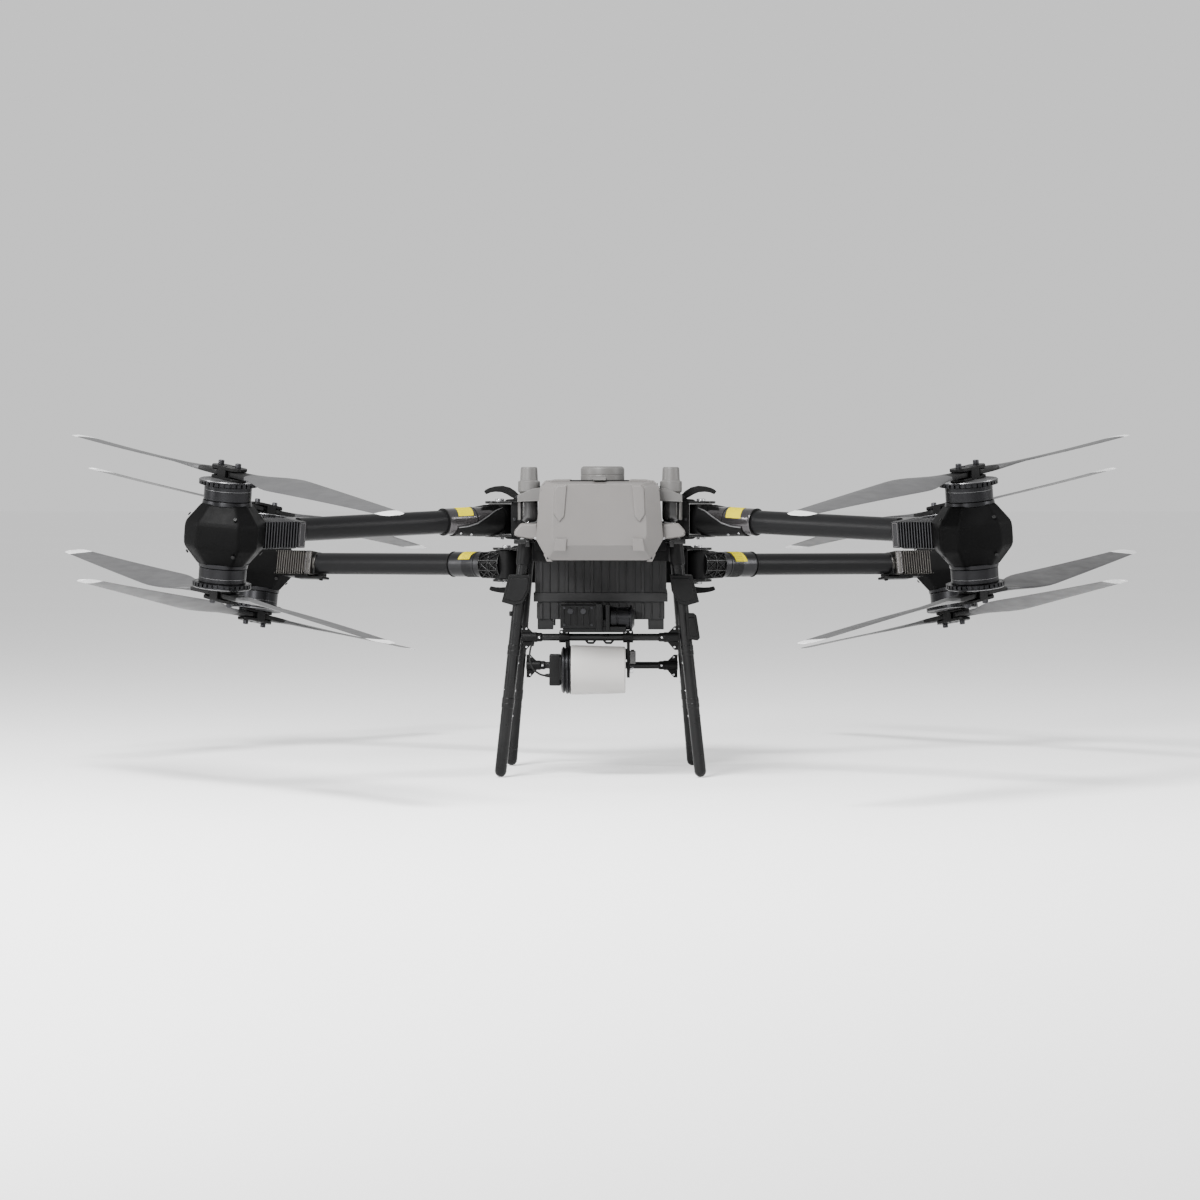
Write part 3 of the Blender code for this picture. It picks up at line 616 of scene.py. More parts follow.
def make_controller(arm):
    """The finned speed controller between the pod and the tube."""
    metal = "heatsink" if arm.end == "front" else "heatsink_rear"
    plate_finish = "sleeve_dark" if arm.end == "front" else "end_plate"
    start, end = -CONTROLLER_START, -0.052
    core = 0.028 if arm.end == "front" else 0.0325
    fins = [box((start + 0.016, -core, -0.025), (end, core, 0.025))]
    count = 16
    for index in range(count):
        x = start + 0.026 + (end - start - 0.03) * index / (count - 1)
        fins.append(block((x, 0, 0), (0.003, 0.072, 0.06)))
    piece(f"controller_fins_{arm.label}", fins, metal, arm.body, arm.pod, 0.0007)
    collar = [
        block((start + 0.0105, 0, 0), (0.02, 0.07, 0.06)),
        rod((start - 0.006, 0, 0), (start + 0.004, 0, 0), 0.029, 0.031, 48),
    ]
    piece(f"controller_end_{arm.label}", collar, plate_finish, arm.body, arm.pod, 0.0024)
    edges = []
    for way in (1, -1):
        for step in (0.0165, 0.0045):
            edges.append(block((start + step, way * 0.0352, 0), (0.0016, 0.001, 0.054)))
        for z in (0.0262, -0.0262):
            edges.append(block((start + 0.0105, way * 0.0352, z), (0.0136, 0.001, 0.0016)))
    piece(f"controller_frame_{arm.label}", edges, "sleeve", arm.body, arm.pod, 0.0003)
    bracket = [block((start + 0.062, 0, -0.0315), (0.09, 0.04, 0.004))]
    if arm.end == "rear":
        bracket.append(block((start + 0.02, 0, -0.035), (0.09, 0.03, 0.006)))
        bracket.append(block((start - 0.01, 0, -0.039), (0.006, 0.01, 0.006)))
        bracket.append(block((start + 0.001, 0, -0.004), (0.016, 0.052, 0.05)))
    piece(f"controller_foot_{arm.label}", bracket, "casting", arm.body, arm.pod, 0.0015)
    leads = []
    for way in (-0.014, 0.0, 0.014):
        leads.append(rod((-0.086, way, 0.018), (-0.06, way, 0.046), 0.0042, sides=12))
    piece(f"controller_leads_{arm.label}", leads, "rubber", arm.body, arm.pod, 0)


# Arms


def tube_with_uv(arm, start, end, radius, finish, name, stands_for=()):
    """A tube about the arm's axis whose UVs count 2 mm tows."""
    sides, rows, tow = 48, 24, 0.002
    heights = [start + (end - start) * row / rows for row in range(rows + 1)]
    shape = turned([(radius, height) for height in heights], sides)
    layer = shape.loops.layers.uv.new("tows")
    around = round(2 * math.pi * radius / tow / 4) * 4
    for face in shape.faces:
        turns = [
            math.atan2(loop.vert.co.y, loop.vert.co.x) / (2 * math.pi) % 1.0
            for loop in face.loops
        ]
        wraps = max(turns) - min(turns) > 0.5
        for loop, turn in zip(face.loops, turns):
            turn = turn + 1.0 if wraps and turn < 0.5 else turn
            loop[layer].uv = (turn * around, loop.vert.co.z / tow)
    return piece(name, [shape], finish, arm.body, arm.tube, 0, stands_for)


def curved_label(radius, start, end, low_angle, high_angle, slant):
    """A thin patch on a tube, its ends slanting, angles in degrees from the tube's top."""
    rows, columns, thickness = 14, 6, 0.0005
    rings = []
    for row in range(rows + 1):
        share = row / rows
        turn = math.radians(low_angle + (high_angle - low_angle) * share)
        lean = slant * (share - 0.5)
        line = [start + (end - start) * column / columns + lean for column in range(columns + 1)]
        ring = []
        for depth, places in ((radius, line), (radius + thickness, line[::-1])):
            ring += [(depth * math.cos(turn), depth * math.sin(turn), along) for along in places]
        rings.append(ring)
    return loft(rings)


def make_arm(arm):
    name = f"arm_{arm.label}"
    tube_end = arm.reach - CONTROLLER_START - 0.0005
    tube_with_uv(arm, SLEEVE_LENGTH - 0.01, tube_end, TUBE_RADIUS, "carbon", f"{name}_tube", (name,))
    band = SLEEVE_RADIUS
    sleeve = turned(
        (
            (band - 0.001, 0.022), (band, 0.024), (band, SLEEVE_LENGTH - 0.005),
            (band - 0.0012, SLEEVE_LENGTH - 0.002), (band - 0.0012, SLEEVE_LENGTH),
        ),
        72,
    )
    metal = "sleeve" if arm.end == "front" else "sleeve_dark"
    piece(f"{name}_sleeve", [sleeve], metal, arm.body, arm.tube, 0.0005)
    label_end = 0.128 if arm.end == "front" else 0.12
    label = curved_label(SLEEVE_RADIUS + 0.0001, 0.086, label_end, -66, 76, 0.016 * arm.side)
    piece(f"{name}_label", [label], "label", arm.body, arm.tube, 0)
    lip = ((band - 0.001, 0), (band + 0.0009, 0.0003), (band + 0.0009, 0.0022))
    rings = [shifted(turned(lip, 72), z=at) for at in (0.0815, SLEEVE_LENGTH)]
    if arm.end == "rear":
        ridge = ((band, 0), (band + 0.0006, 0.0002), (band + 0.0006, 0.0012))
        rings += [shifted(turned(ridge, 72), z=0.088 + 0.0034 * step) for step in range(9)]
    piece(f"{name}_rings", rings, "plastic", arm.body, arm.tube, 0.0003)
    make_knuckle(arm)


def saddle_ring(distance, inner, outer, top, bottom, front):
    """Section of a gutter about the sleeve, from the angle top down past the front to bottom."""
    steps = 10
    turns = [top + (bottom - top) * step / steps for step in range(steps + 1)]
    back = [bottom + (top - bottom) * step / steps for step in range(steps + 1)]
    outside = [on_tube(distance, outer, turn, front) for turn in turns]
    return outside + [on_tube(distance, inner, turn, front) for turn in back]


def make_knuckle(arm):
    """The casting at the arm's root: hinge barrel, neck and the long saddle under the sleeve."""
    name = f"arm_{arm.label}"
    way = arm.centre - arm.hinge
    upright = basis(way, Vector((0, 0, 1)), arm.hinge)
    lean = basis(way, arm.tube.to_3x3() @ Vector((1, 0, 0)), arm.hinge)
    knuckle = [
        turned(((0.026, -0.035), (0.0268, -0.0342), (0.0268, 0.0342), (0.026, 0.035))),
        block((0.018, 0, 0), (0.036, 0.048, 0.058)),
    ]
    for y in (-0.0185, 0.0, 0.0185):
        knuckle.append(
            plate(
                (
                    (0.01, -0.0335), (0.01, 0.0335), (0.03, 0.0335), (0.064, 0.028), (0.064, -0.028),
                    (0.03, -0.0335),
                ),
                y - 0.0022, y + 0.0022,
            )
        )
    piece(f"{name}_knuckle", knuckle, "casting", arm.body, upright, 0.0016)
    front = -arm.side
    if arm.end == "front":
        sections = (
            (0.01, 0.0385, 46, -160), (0.034, 0.0395, 34, -156), (0.06, 0.0385, 14, -150),
            (0.088, 0.0365, -8, -140), (0.112, 0.035, -18, -132), (0.138, 0.0342, -22, -124),
        )
    else:
        sections = ((0.002, 0.0352, 62, -150), (0.032, 0.0356, 58, -148), (0.062, 0.034, 48, -140))
    inner = SLEEVE_RADIUS - 0.0002
    saddle = loft(
        [saddle_ring(at, inner, outer, top, bottom, front) for at, outer, top, bottom in sections]
    )
    if arm.end == "front":
        # The saddle's pale top strip is a painted highlight on the casting's edge.
        piece(f"{name}_saddle_highlight_lip", [saddle_highlight_lip(sections, front)], "rim", arm.body, lean, 0.0006)
    piece(f"{name}_saddle", [saddle], "casting", arm.body, lean, 0.0012)
    screws = []
    if arm.end == "front":
        for distance, degrees in ((0.126, -52), (0.094, -60), (0.056, -45)):
            radius = 0.0338 if distance > 0.1 else 0.0358
            at = on_tube(distance, radius, degrees, front)
            screws.append(bolt(at, on_tube(0, 1, degrees, front), 0.003, 0.002))
        piece(f"{name}_saddle_screws", screws, "steel", arm.body, lean, 0.0003)
    else:
        piece(f"{name}_saddle_ribs", saddle_ribs(front), "clamp", arm.body, lean, 0.0008)


def saddle_highlight_lip(sections, front):
    """A pale metal strip along the top of a saddle: a painted highlight where light catches its edge.
    """
    corners = ((-0.0034, 1.0), (0.001, 1.0), (0.001, -3.5), (-0.0034, -3.5))
    return loft(
        [
            [on_tube(distance, outer + rise, top + lean, front) for rise, lean in corners]
            for distance, outer, top, _ in sections
        ]
    )


def saddle_ribs(front):
    """Crossed ribs round the front of a rear arm's saddle."""
    ribs = []
    rows, columns = (54, 16, -22, -60), (0.003, 0.032, 0.061)
    lines = [((columns[0], row), (columns[-1], row)) for row in rows]
    lines += [((column, rows[0]), (column, rows[-1])) for column in columns]
    for left, right in zip(columns, columns[1:]):
        for high, low in zip(rows, rows[1:]):
            lines += [((left, high), (right, low)), ((left, low), (right, high))]
    for start, end in lines:
        steps = 8
        rings = []
        for step in range(steps + 1):
            share = step / steps
            out = on_tube(0, 1, start[1] + (end[1] - start[1]) * share, front)
            along = Vector((1, 0, 0))
            centre = along * (start[0] + (end[0] - start[0]) * share) + out * 0.0354
            wide = (along if abs(end[1] - start[1]) > 30 else out.cross(along)) * 0.0013
            foot, crest = centre - out * 0.002, centre + out * 0.0026
            rings.append([foot - wide, foot + wide, crest + wide, crest - wide])
        ribs.append(loft(rings))
    return ribs


def make_arm_root(arm):
    """The clevis casting with its ribs, bolts and the ears of the latch lever."""
    name = f"arm_root_{arm.label}"
    low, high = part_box(name)
    side = arm.side
    inner = min(abs(low.x), abs(high.x))
    origin = arm.hinge
    half = 0.034
    shapes = [
        box((inner - origin.x * side, -half, -0.042), (-0.043, half, 0.042)),
        box((-0.044, -half, -0.042), (-0.028, half, -0.036)),
        box((-0.044, -half, 0.036), (-0.028, half, 0.042)),
        plate(
            arc((0, 0), 0.0395, 227, 133, 16) + [(-0.044, 0.0289), (-0.044, -0.0289)], -0.0358, 0.0358,
            "z",
        ),
    ]
    cheeks = []
    for bottom, top in ((-0.042, -0.036), (0.036, 0.042)):
        outline = arc((0, 0), half, -90, 90, 16) + [(-0.034, half), (-0.034, -half)]
        cheeks.append(plate(outline, bottom, top, "z"))
    for y in (-0.026, -0.009, 0.009, 0.026):
        for way in (1, -1):
            rib = (
                (-0.052, way * 0.041), (-0.01, way * 0.041), (-0.018, way * 0.046),
                (-0.046, way * 0.048),
            )
            shapes.append(plate(rib, y - 0.0015, y + 0.0015))
    ear = arm.lift
    for y in (-0.016, 0.016):
        outline = [(-0.052, ear * 0.04), (-0.03, ear * 0.04)] + [
            (x, ear * z) for x, z in arc((-0.042, 0.051), 0.0075, 0, 180, 8)
        ]
        shapes.append(plate(outline, y - 0.004, y + 0.004))
    if arm.end == "rear":
        shapes += truss(half)
    mirror = Matrix.Diagonal((side, 1, 1, 1))
    place = Matrix.Translation(origin)
    cheeks = [moved(shape, mirror) for shape in cheeks]
    piece(f"{name}_cheeks", cheeks, "clamp", "airframe", place, 0.0014)
    shapes = [moved(shape, mirror) for shape in shapes]
    piece(f"{name}_casting", shapes, "casting", "airframe", place, 0.001, (name,))
    pins = [bolt((0, 0, level * 0.0418), (0, 0, level), 0.0105, 0.006) for level in (1, -1)]
    piece(f"{name}_pins", pins, "steel", "airframe", place, 0.0004)
    screws = [
        bolt((-0.042 * side, way * 0.0195, ear * 0.051), (0, way, 0), 0.0042, 0.003)
        for way in (1, -1)
    ]
    for x, z in ((-0.05, 0.028), (-0.05, -0.028), (-0.036, 0.0)):
        screws.append(bolt((x * side, -half, z), (0, -1, 0), 0.0036, 0.0026))
        screws.append(bolt((x * side, half, z), (0, 1, 0), 0.0036, 0.0026))
    piece(f"{name}_screws", screws, "dark_steel", "airframe", place, 0.0004)


def truss(half):
    """Crossed ribs on both cheeks of a rear root."""
    shapes = []
    for way in (1, -1):
        depths = sorted((way * (half - 0.001), way * (half + 0.003)))
        for start, end in (((-0.058, -0.04), (-0.028, 0.034)), ((-0.058, 0.04), (-0.028, -0.034))):
            shapes.append(plate(strip((start, end), 0.0022), *depths))
        shapes.append(plate(strip(((-0.028, -0.038), (-0.028, 0.038)), 0.0022), *depths))
    return shapes


def make_lever(arm):
    """The hooked latch lever: an arched claw with a ribbed back."""
    name = f"latch_lever_{arm.label}"
    pivot = Vector(JOINTS[f"latch_{arm.label}"]["pos_m"])
    path = (
        (0.0, 0.0), (0.01, 0.0075), (0.022, 0.015), (0.036, 0.0192), (0.052, 0.019), (0.064, 0.0165),
        (0.072, 0.0128), (0.0755, 0.01),
    )
    widths = (0.0062, 0.0084, 0.0086, 0.0076, 0.0064, 0.0056, 0.0052, 0.0042)
    stretch, rise = (1.0, 1.0) if arm.end == "front" else (1.1, 0.62)
    outline = strip([(arm.side * stretch * x, arm.lift * rise * z) for x, z in path], widths)
    core = plate(outline, -0.0075, 0.0075)
    edges = [plate(outline, low, low + 0.0024) for low in (-0.0112, 0.0088)]
    barrel = rod((0, -0.0112, 0), (0, 0.0112, 0), 0.0062, sides=24)
    piece(
        f"{name}_hook", [core, *edges, barrel], "casting", name, Matrix.Translation(pivot), 0.0012,
        (name,),
    )


# Nose


NOSE_FRONT = -0.45
NOSE_SHOULDER = -0.412
NOSE_REAR = -0.121


def nose_half(front):
    if front:
        return ((0.098, 0.5495), (0.1085, 0.572), (0.1045, 0.682), (0.098, 0.6905))
    return ((0.1195, 0.515), (0.1465, 0.564), (0.137, 0.684), (0.125, 0.697))


def nose_ring(front, y, wall=0.0):
    right = [(x - wall, y, z + math.copysign(wall, 0.606 - z)) for x, z in nose_half(front)]
    return right + [(-x, py, z) for x, py, z in reversed(right)]


def make_nose():
    """The cover: a faceted shell with a stepped centre panel, tabs, seams and corner bosses."""
    wall = 0.003
    shell = loft(
        [
            nose_ring(True, NOSE_FRONT + wall + 0.0015, wall),
            nose_ring(False, NOSE_SHOULDER + wall, wall),
            nose_ring(False, NOSE_REAR, wall),
            nose_ring(False, NOSE_REAR),
            nose_ring(False, NOSE_SHOULDER),
            nose_ring(True, NOSE_FRONT + 0.0015),
        ]
    )
    fixed("nose_shell", [shell], "cover", 0.005, "nose_cover")
    front = NOSE_FRONT + 0.0015
    details = []
    for side in SIDES.values():
        outer = (
            (0.074, 0.6895), (0.096, 0.6895), (0.103, 0.681), (0.105, 0.62), (0.092, 0.602),
            (0.08, 0.615),
        )
        steps = ((front + 0.004, 0.0), (front - 0.0008, 0.0), (front - 0.0046, 0.0036))
        details.append(loft([inset(outer, (0.0905, 0.648), amount, side, y) for y, amount in steps]))
        tab = mirrored(((0.0745, 0.566), (0.1, 0.566), (0.1045, 0.537), (0.077, 0.537)), side)
        details.append(plate(tab, front - 0.005, front + 0.022))
        foot = mirrored(((0.108, 0.512), (0.121, 0.512), (0.129, 0.529), (0.118, 0.533)), side)
        details.append(plate(foot, -0.415, -0.396))
        ear = mirrored(
            (
                (0.106, 0.688), (0.1085, 0.6985), (0.124, 0.699), (0.133, 0.69), (0.137, 0.676),
                (0.124, 0.67),
            ),
            side,
        )
        details.append(plate(ear, -0.4165, -0.38))
    fixed("nose_relief", details, "cover", 0.0016)
    top = 0.697
    lid = [
        plate(
            ((-0.062, -0.398), (0.062, -0.398), (0.066, -0.262), (-0.066, -0.262)), top - 0.002,
            top + 0.001, "z",
        )
    ]
    for side in SIDES.values():
        ridge = mirrored(
            (
                (0.066, top - 0.01), (0.068, top + 0.003), (0.072, top + 0.0042), (0.106, top + 0.0036),
                (0.12, top + 0.001), (0.126, top - 0.006),
            ),
            side,
        )
        lid.append(plate(ridge, -0.414, -0.15))
    fixed("nose_lid", lid, "cover", 0.0018)
    seam = [
        block((0, -0.4085, top + 0.001), (0.146, 0.006, 0.0036)),
        block((0, NOSE_REAR + 0.0012, 0.606), (0.27, 0.003, 0.17)),
    ]
    for side in SIDES.values():
        seam.append(block((side * 0.139, -0.3, 0.6842), (0.002, 0.2, 0.002)))
    fixed("nose_seams", seam, "plastic", 0.0004)
    screws = []
    for side in SIDES.values():
        screws.append(bolt((side * 0.1235, -0.416, 0.689), (0, -1, 0.3), 0.0046, 0.0012))
        screws.append(bolt((side * 0.1185, -0.4148, 0.5205), (0, -1, 0), 0.003, 0.0012))
        screws.append(bolt((side * 0.115, -0.15, 0.6965), (0, 0, 1), 0.0042, 0.0018))
    fixed("nose_screws", screws, "dark_steel", 0.0003)


def make_nose_latch():
    """An arched catch with a finger lip."""
    pivot = Vector(JOINTS["nose_latch_lift"]["pos_m"])
    path = ((0.0, 0.0), (-0.01, 0.0022), (-0.02, 0.002), (-0.03, -0.001), (-0.0345, -0.0024))
    outline = strip(path, (0.003, 0.0028, 0.0024, 0.002, 0.0014))
    shapes = [
        plate(outline, -0.0145, 0.0145, "x"), rod((-0.016, 0, 0), (0.016, 0, 0), 0.0032, sides=20),
    ]
    piece(
        "nose_latch_hook", shapes, "pale", "nose_latch", Matrix.Translation(pivot), 0.0008,
        ("nose_latch",),
    )


def make_antennas():
    low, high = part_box("gps_antenna")
    centre = Vector(((low.x + high.x) / 2, (low.y + high.y) / 2, low.z))
    radius, height = (high.x - low.x) / 2, high.z - low.z
    puck = turned(
        (
            (radius - 0.002, 0.0), (radius, 0.0015), (radius, 0.012), (radius - 0.0006, 0.0125),
            (radius - 0.0006, 0.0135), (radius, 0.014), (radius, height - 0.0065),
            (radius - 0.002, height - 0.0025), (radius - 0.006, height),
        ),
        72,
    )
    piece("gps_puck", [puck], "pale", "airframe", Matrix.Translation(centre), 0.0005, ("gps_antenna",))
    for side_name, side in SIDES.items():
        make_antenna_post(side_name, side)
        make_shoulder(side_name, side)


def make_antenna_post(side_name, side):
    """A capped post on a collar, a strut panel to the nose and a round-bottomed lamp below."""
    name = f"antenna_{side_name}"
    low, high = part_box(name)
    x, y, base, top = (low.x + high.x) / 2, (low.y + high.y) / 2, low.z, high.z
    place = Matrix.Translation((x, y, 0))
    post = turned(
        (
            (0.022, base + 0.049), (0.022, base + 0.07), (ANTENNA_COLLAR_RADIUS, base + 0.072),
            (ANTENNA_COLLAR_RADIUS, base + 0.0955), (0.0215, base + 0.097), (0.0206, base + 0.0985),
            (0.0192, top - 0.0035), (0.0178, top - 0.0005), (0.0166, top),
        ),
        64,
    )
    slope = (
        (-0.042, 0.0835), (-0.01, 0.079), (0.0262, 0.064), (0.0262, 0.048), (-0.025, 0.05),
        (-0.042, 0.056),
    )
    strut = plate([(side * a, base + z) for a, z in slope], -0.03, -0.002)
    rim = plate(
        [
            (side * a, base + z)
            for a, z in ((-0.025, 0.053), (0.027, 0.051), (0.027, 0.048), (-0.025, 0.05))
        ],
        -0.0315, 0.024,
    )
    piece(f"{name}_post", [post, strut, rim], "pale", "airframe", place, 0.0018, (name,))
    lamp = turned(
        (
            (0.011, base + 0.0012), (0.016, base + 0.003), (0.019, base + 0.0068),
            (0.0203, base + 0.012), (0.0205, base + 0.018), (0.0205, base + 0.047),
            (0.0198, base + 0.0495),
        ),
        72,
    )
    piece(f"{name}_lamp", [lamp], "lamp", "airframe", place, 0.0005)
    outline = arc((0, 0), 0.0262, -38, 100, 16) + arc((0, 0), 0.0225, 100, -38, 16)
    guard = plate([(side * a, b) for a, b in outline], base + 0.006, base + 0.05, "z")
    piece(f"{name}_guard", [guard], "pale", "airframe", place, 0.0012)


def make_shoulder(side_name, side):
    """The light fairing between the nose and the head of the front leg."""
    front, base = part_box("main_frame")[0].y, 0.5615
    outline = (
        (0.14, base + 0.003), (0.162, base + 0.0015), (0.19, base + 0.0065), (0.1968, base + 0.011),
        (0.1975, base + 0.019), (0.1945, base + 0.024), (0.183, base + 0.0372), (0.179, base + 0.0385),
        (0.16, base + 0.0385), (0.143, base + 0.0375),
    )
    centre = (0.17, base + 0.019)
    steps = ((front - 0.0012, 0.004), (front + 0.0045, 0.0), (front + 0.052, 0.0))
    shape = loft([inset(outline, centre, amount, side, y) for y, amount in steps])
    fixed(f"shoulder_{side_name}", [shape], "cover", 0.0016)
    clamp = [
        block((side * 0.18, front + 0.02, base - 0.004), (0.036, 0.036, 0.011)),
        block((side * 0.166, front + 0.008, base - 0.009), (0.01, 0.016, 0.014)),
    ]
    fixed(f"shoulder_clamp_{side_name}", clamp, "clamp", 0.0018)
    screws = [bolt((side * 0.148, front - 0.0015, base + 0.004), (0, -1, 0), 0.0028, 0.0014)]
    fixed(f"shoulder_screws_{side_name}", screws, "steel", 0.0003)


# Body under and behind the nose


def make_frame():
    """Flanged rails with pockets, cross-members, trays and rear drops, in place of the plain frame."""
    low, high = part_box("main_frame")
    inner, outer, base, top = 0.15, 0.175, 0.555, high.z
    front, rear, middle = low.y + 0.012, high.y, (inner + outer) / 2
    metal, pockets, screws = [], [], []
    for side in SIDES.values():
        web = (0.019, rear - front, top - base - 0.001)
        metal.append(block((side * middle, (front + rear) / 2, (base + top) / 2), web))
        for z in (base + 0.0025, top - 0.0025):
            metal.append(
                block((side * middle, (front + rear) / 2, z), (outer - inner, rear - front, 0.005))
            )
        metal.append(block((side * middle, 0.273, 0.505), (0.022, 0.074, 0.118)))
        metal.append(block((side * 0.139, -0.166, 0.533), (0.044, 0.008, 0.05)))
        metal.append(block((side * 0.139, -0.23, 0.546), (0.03, 0.008, 0.024)))
        for y in (0.24, 0.306):
            metal.append(block((side * middle, y, 0.505), (0.025, 0.007, 0.118)))
        steps = 13
        for step in range(steps):
            y = front + 0.055 + (rear - front - 0.08) * step / (steps - 1)
            rib = (0.004, 0.0035, top - base - 0.004)
            metal.append(block((side * (outer - 0.002), y - 0.02, (base + top) / 2), rib))
            ends = [(side * (outer - depth), y, 0.5775) for depth in (0.004, 0.0022)]
            pockets.append(rod(*ends, 0.0095))
            screws.append(bolt((side * 0.1665, y - 0.014, top - 0.0004), (0, 0, 1), 0.0034, 0.0022))
    for start in (-0.115, 0.13, 0.305):
        metal.append(box((-0.152, start, base + 0.004), (0.152, start + 0.015, top - 0.004)))
    metal.append(box((-0.152, 0.14, base + 0.008), (0.152, 0.31, base + 0.016)))
    metal.append(box((-0.1, -0.39, 0.58), (0.1, -0.11, 0.586)))
    for step in range(9):
        metal.append(block((-0.08 + 0.02 * step, -0.25, 0.5785), (0.003, 0.27, 0.004)))
    fixed("frame_rails", metal, "casting", 0.0012, "main_frame")
    fixed("frame_pockets", pockets, "dark_steel", 0.0008)
    fixed("frame_screws", screws, "steel", 0.0003)


def make_flight_controller():
    low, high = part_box("flight_controller")
    shapes = [box(low, high)]
    for index in range(8):
        x = low.x + 0.012 + (high.x - low.x - 0.024) * index / 7
        shapes.append(block((x, (low.y + high.y) / 2, high.z + 0.001), (0.004, 0.08, 0.003)))
    fixed("flight_controller_case", shapes, "heatsink", 0.0012, "flight_controller")


def make_tank():
    """The tank with its vertical ribs, its band and its feet."""
    low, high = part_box("spray_tank")
    front, rear = low.y + 0.003, high.y - 0.003
    neck_front, neck_rear = -0.092, 0.122
    shapes = [
        box((-0.153, front + 0.002, 0.43), (0.153, rear - 0.002, 0.5115)),
        box((-0.158, low.y, 0.412), (0.158, high.y, 0.4335)),
        box((-0.149, front + 0.006, 0.37), (0.149, rear - 0.006, 0.414)),
        box((-0.13, neck_front, 0.505), (0.13, neck_rear, 0.655)),
    ]
    for side in SIDES.values():
        for foot_front in (-0.145, 0.115):
            inner, outer = sorted((side * 0.112, side * 0.149))
            shapes.append(box((inner, foot_front, 0.346), (outer, foot_front + 0.037, 0.374)))
    for index in range(15):
        x = -0.14 + 0.02 * index
        wide = 0.0075 if index % 3 == 0 else 0.003
        for y in (front, rear):
            shapes.append(block((x, y, 0.472), (wide, 0.0046, 0.078)))
            shapes.append(block((x, y + (0.004 if y < 0 else -0.004), 0.39), (wide, 0.0046, 0.038)))
    for index in range(14):
        y = front + 0.018 + (rear - front - 0.036) * index / 13
        for side in SIDES.values():
            for x, z, tall in ((0.153, 0.472, 0.078), (0.149, 0.39, 0.038)):
                shapes.append(block((side * x, y, z), (0.004, 0.0034, tall)))
    for index in range(7):
        x = -0.108 + 0.036 * index
        for y in (neck_front, neck_rear):
            shapes.append(block((x, y, 0.63), (0.004, 0.003, 0.042)))
    fixed("tank_body", shapes, "tank", 0.0013, "spray_tank")
    neck = turned(((0.05, 0.65), (0.05, 0.6548), (0.047, 0.6552)))
    fixed("tank_neck", [shifted(neck, y=0.015)], "plastic", 0.0008)
    piece("tank_filler_cap", knurled_cap(), "plastic", "tank_cap", None, 0.001, ("tank_cap",))


def knurled_cap():
    low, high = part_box("tank_cap")
    centre = (low + high) / 2
    radius = (high.x - low.x) / 2
    shapes = [
        turned(
            (
                (radius - 0.002, low.z), (radius - 0.002, high.z - 0.006),
                (radius - 0.006, high.z - 0.001),
            ),
            64,
        ),
        block((0, 0, high.z - 0.002), (radius * 1.45, 0.01, 0.006)),
        block((0, 0, high.z - 0.002), (0.01, radius * 1.45, 0.006)),
    ]
    for index in range(36):
        turn = Matrix.Rotation(2 * math.pi * index / 36, 4, "Z")
        rib = block(
            (radius - 0.002, 0, (low.z + high.z) / 2 - 0.003), (0.0036, 0.0034, high.z - low.z - 0.01),
        )
        shapes.append(moved(rib, turn))
    return [shifted(shape, centre.x, centre.y) for shape in shapes]


def make_battery():
    low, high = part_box("battery")
    rear = 0.3
    shapes = [box(low, (high.x, rear, high.z))]
    for index in range(9):
        x = -0.096 + 0.024 * index
        shapes.append(block((x, (low.y + rear) / 2, high.z), (0.006, rear - low.y - 0.03, 0.0034)))
    for side in SIDES.values():
        for z in (0.625, 0.655):
            shapes.append(
                block((side * high.x, (low.y + rear) / 2, z), (0.0026, rear - low.y - 0.024, 0.008))
            )
    piece("battery_case", shapes, "plastic", "battery", None, 0.0022, ("battery",))
    handle = [
        rod((side * 0.0475, rear - 0.006, 0.6675), (side * 0.0475, high.y - 0.01, 0.6675), 0.007)
        for side in SIDES.values()
    ]
    handle.append(rod((-0.055, high.y - 0.0095, 0.6675), (0.055, high.y - 0.0095, 0.6675), 0.0088))
    piece("battery_handle", handle, "casting", "battery", None, 0.0008)
    panel = [block((0.08, rear + 0.0005, 0.648), (0.05, 0.003, 0.018))]
    panel += [
        block((-0.088 + 0.012 * index, rear + 0.0005, 0.65), (0.006, 0.003, 0.006))
        for index in range(4)
    ]
    piece("battery_panel", panel, "pale", "battery", None, 0.0006)


def make_pump():
    """Pump head, centre rib, motor barrel and flange, with hose stubs and screws."""
    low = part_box("pump_unit")[0]
    y = -0.202
    shapes = [
        box((low.x, -0.236, 0.352), (0.006, -0.165, 0.406)),
        box((-0.01, low.y, 0.345), (0.004, -0.169, 0.41)),
        box((0.012, low.y + 0.004, 0.345), (0.022, -0.169, 0.408)),
        box((0.0, -0.228, 0.345), (0.02, -0.175, 0.372)),
        box((-0.088, -0.23, 0.3425), (0.06, -0.175, 0.356)),
    ]
    for index in range(6):
        x = low.x + 0.008 + 0.015 * index
        shapes.append(block((x, -0.2365, 0.38), (0.004, 0.004, 0.044)))
    fixed("pump_block", shapes, "plastic", 0.0016, "pump_unit")
    barrel = turned(
        (
            (0.018, 0.0), (0.0265, 0.004), (0.0265, 0.018), (0.025, 0.019), (0.025, 0.021),
            (0.0265, 0.022), (0.0265, 0.048), (0.031, 0.049), (0.031, 0.054), (0.024, 0.055),
            (0.016, 0.06),
        )
    )
    fixed("pump_motor", [moved(barrel, aimed((0.02, y, 0.374), (1.0, y, 0.374)))], "bell", 0.0006)
    stubs = [rod((x, -0.236, 0.392), (x, -0.242, 0.392), 0.0065, sides=20) for x in (-0.07, -0.04)]
    stubs += [
        bolt((x, -0.2385, z), (0, -1, 0), 0.003, 0.002)
        for x in (-0.084, -0.02) for z in (0.36, 0.4)
    ]
    fixed("pump_screws", stubs, "dark_steel", 0.0004)


# Radar


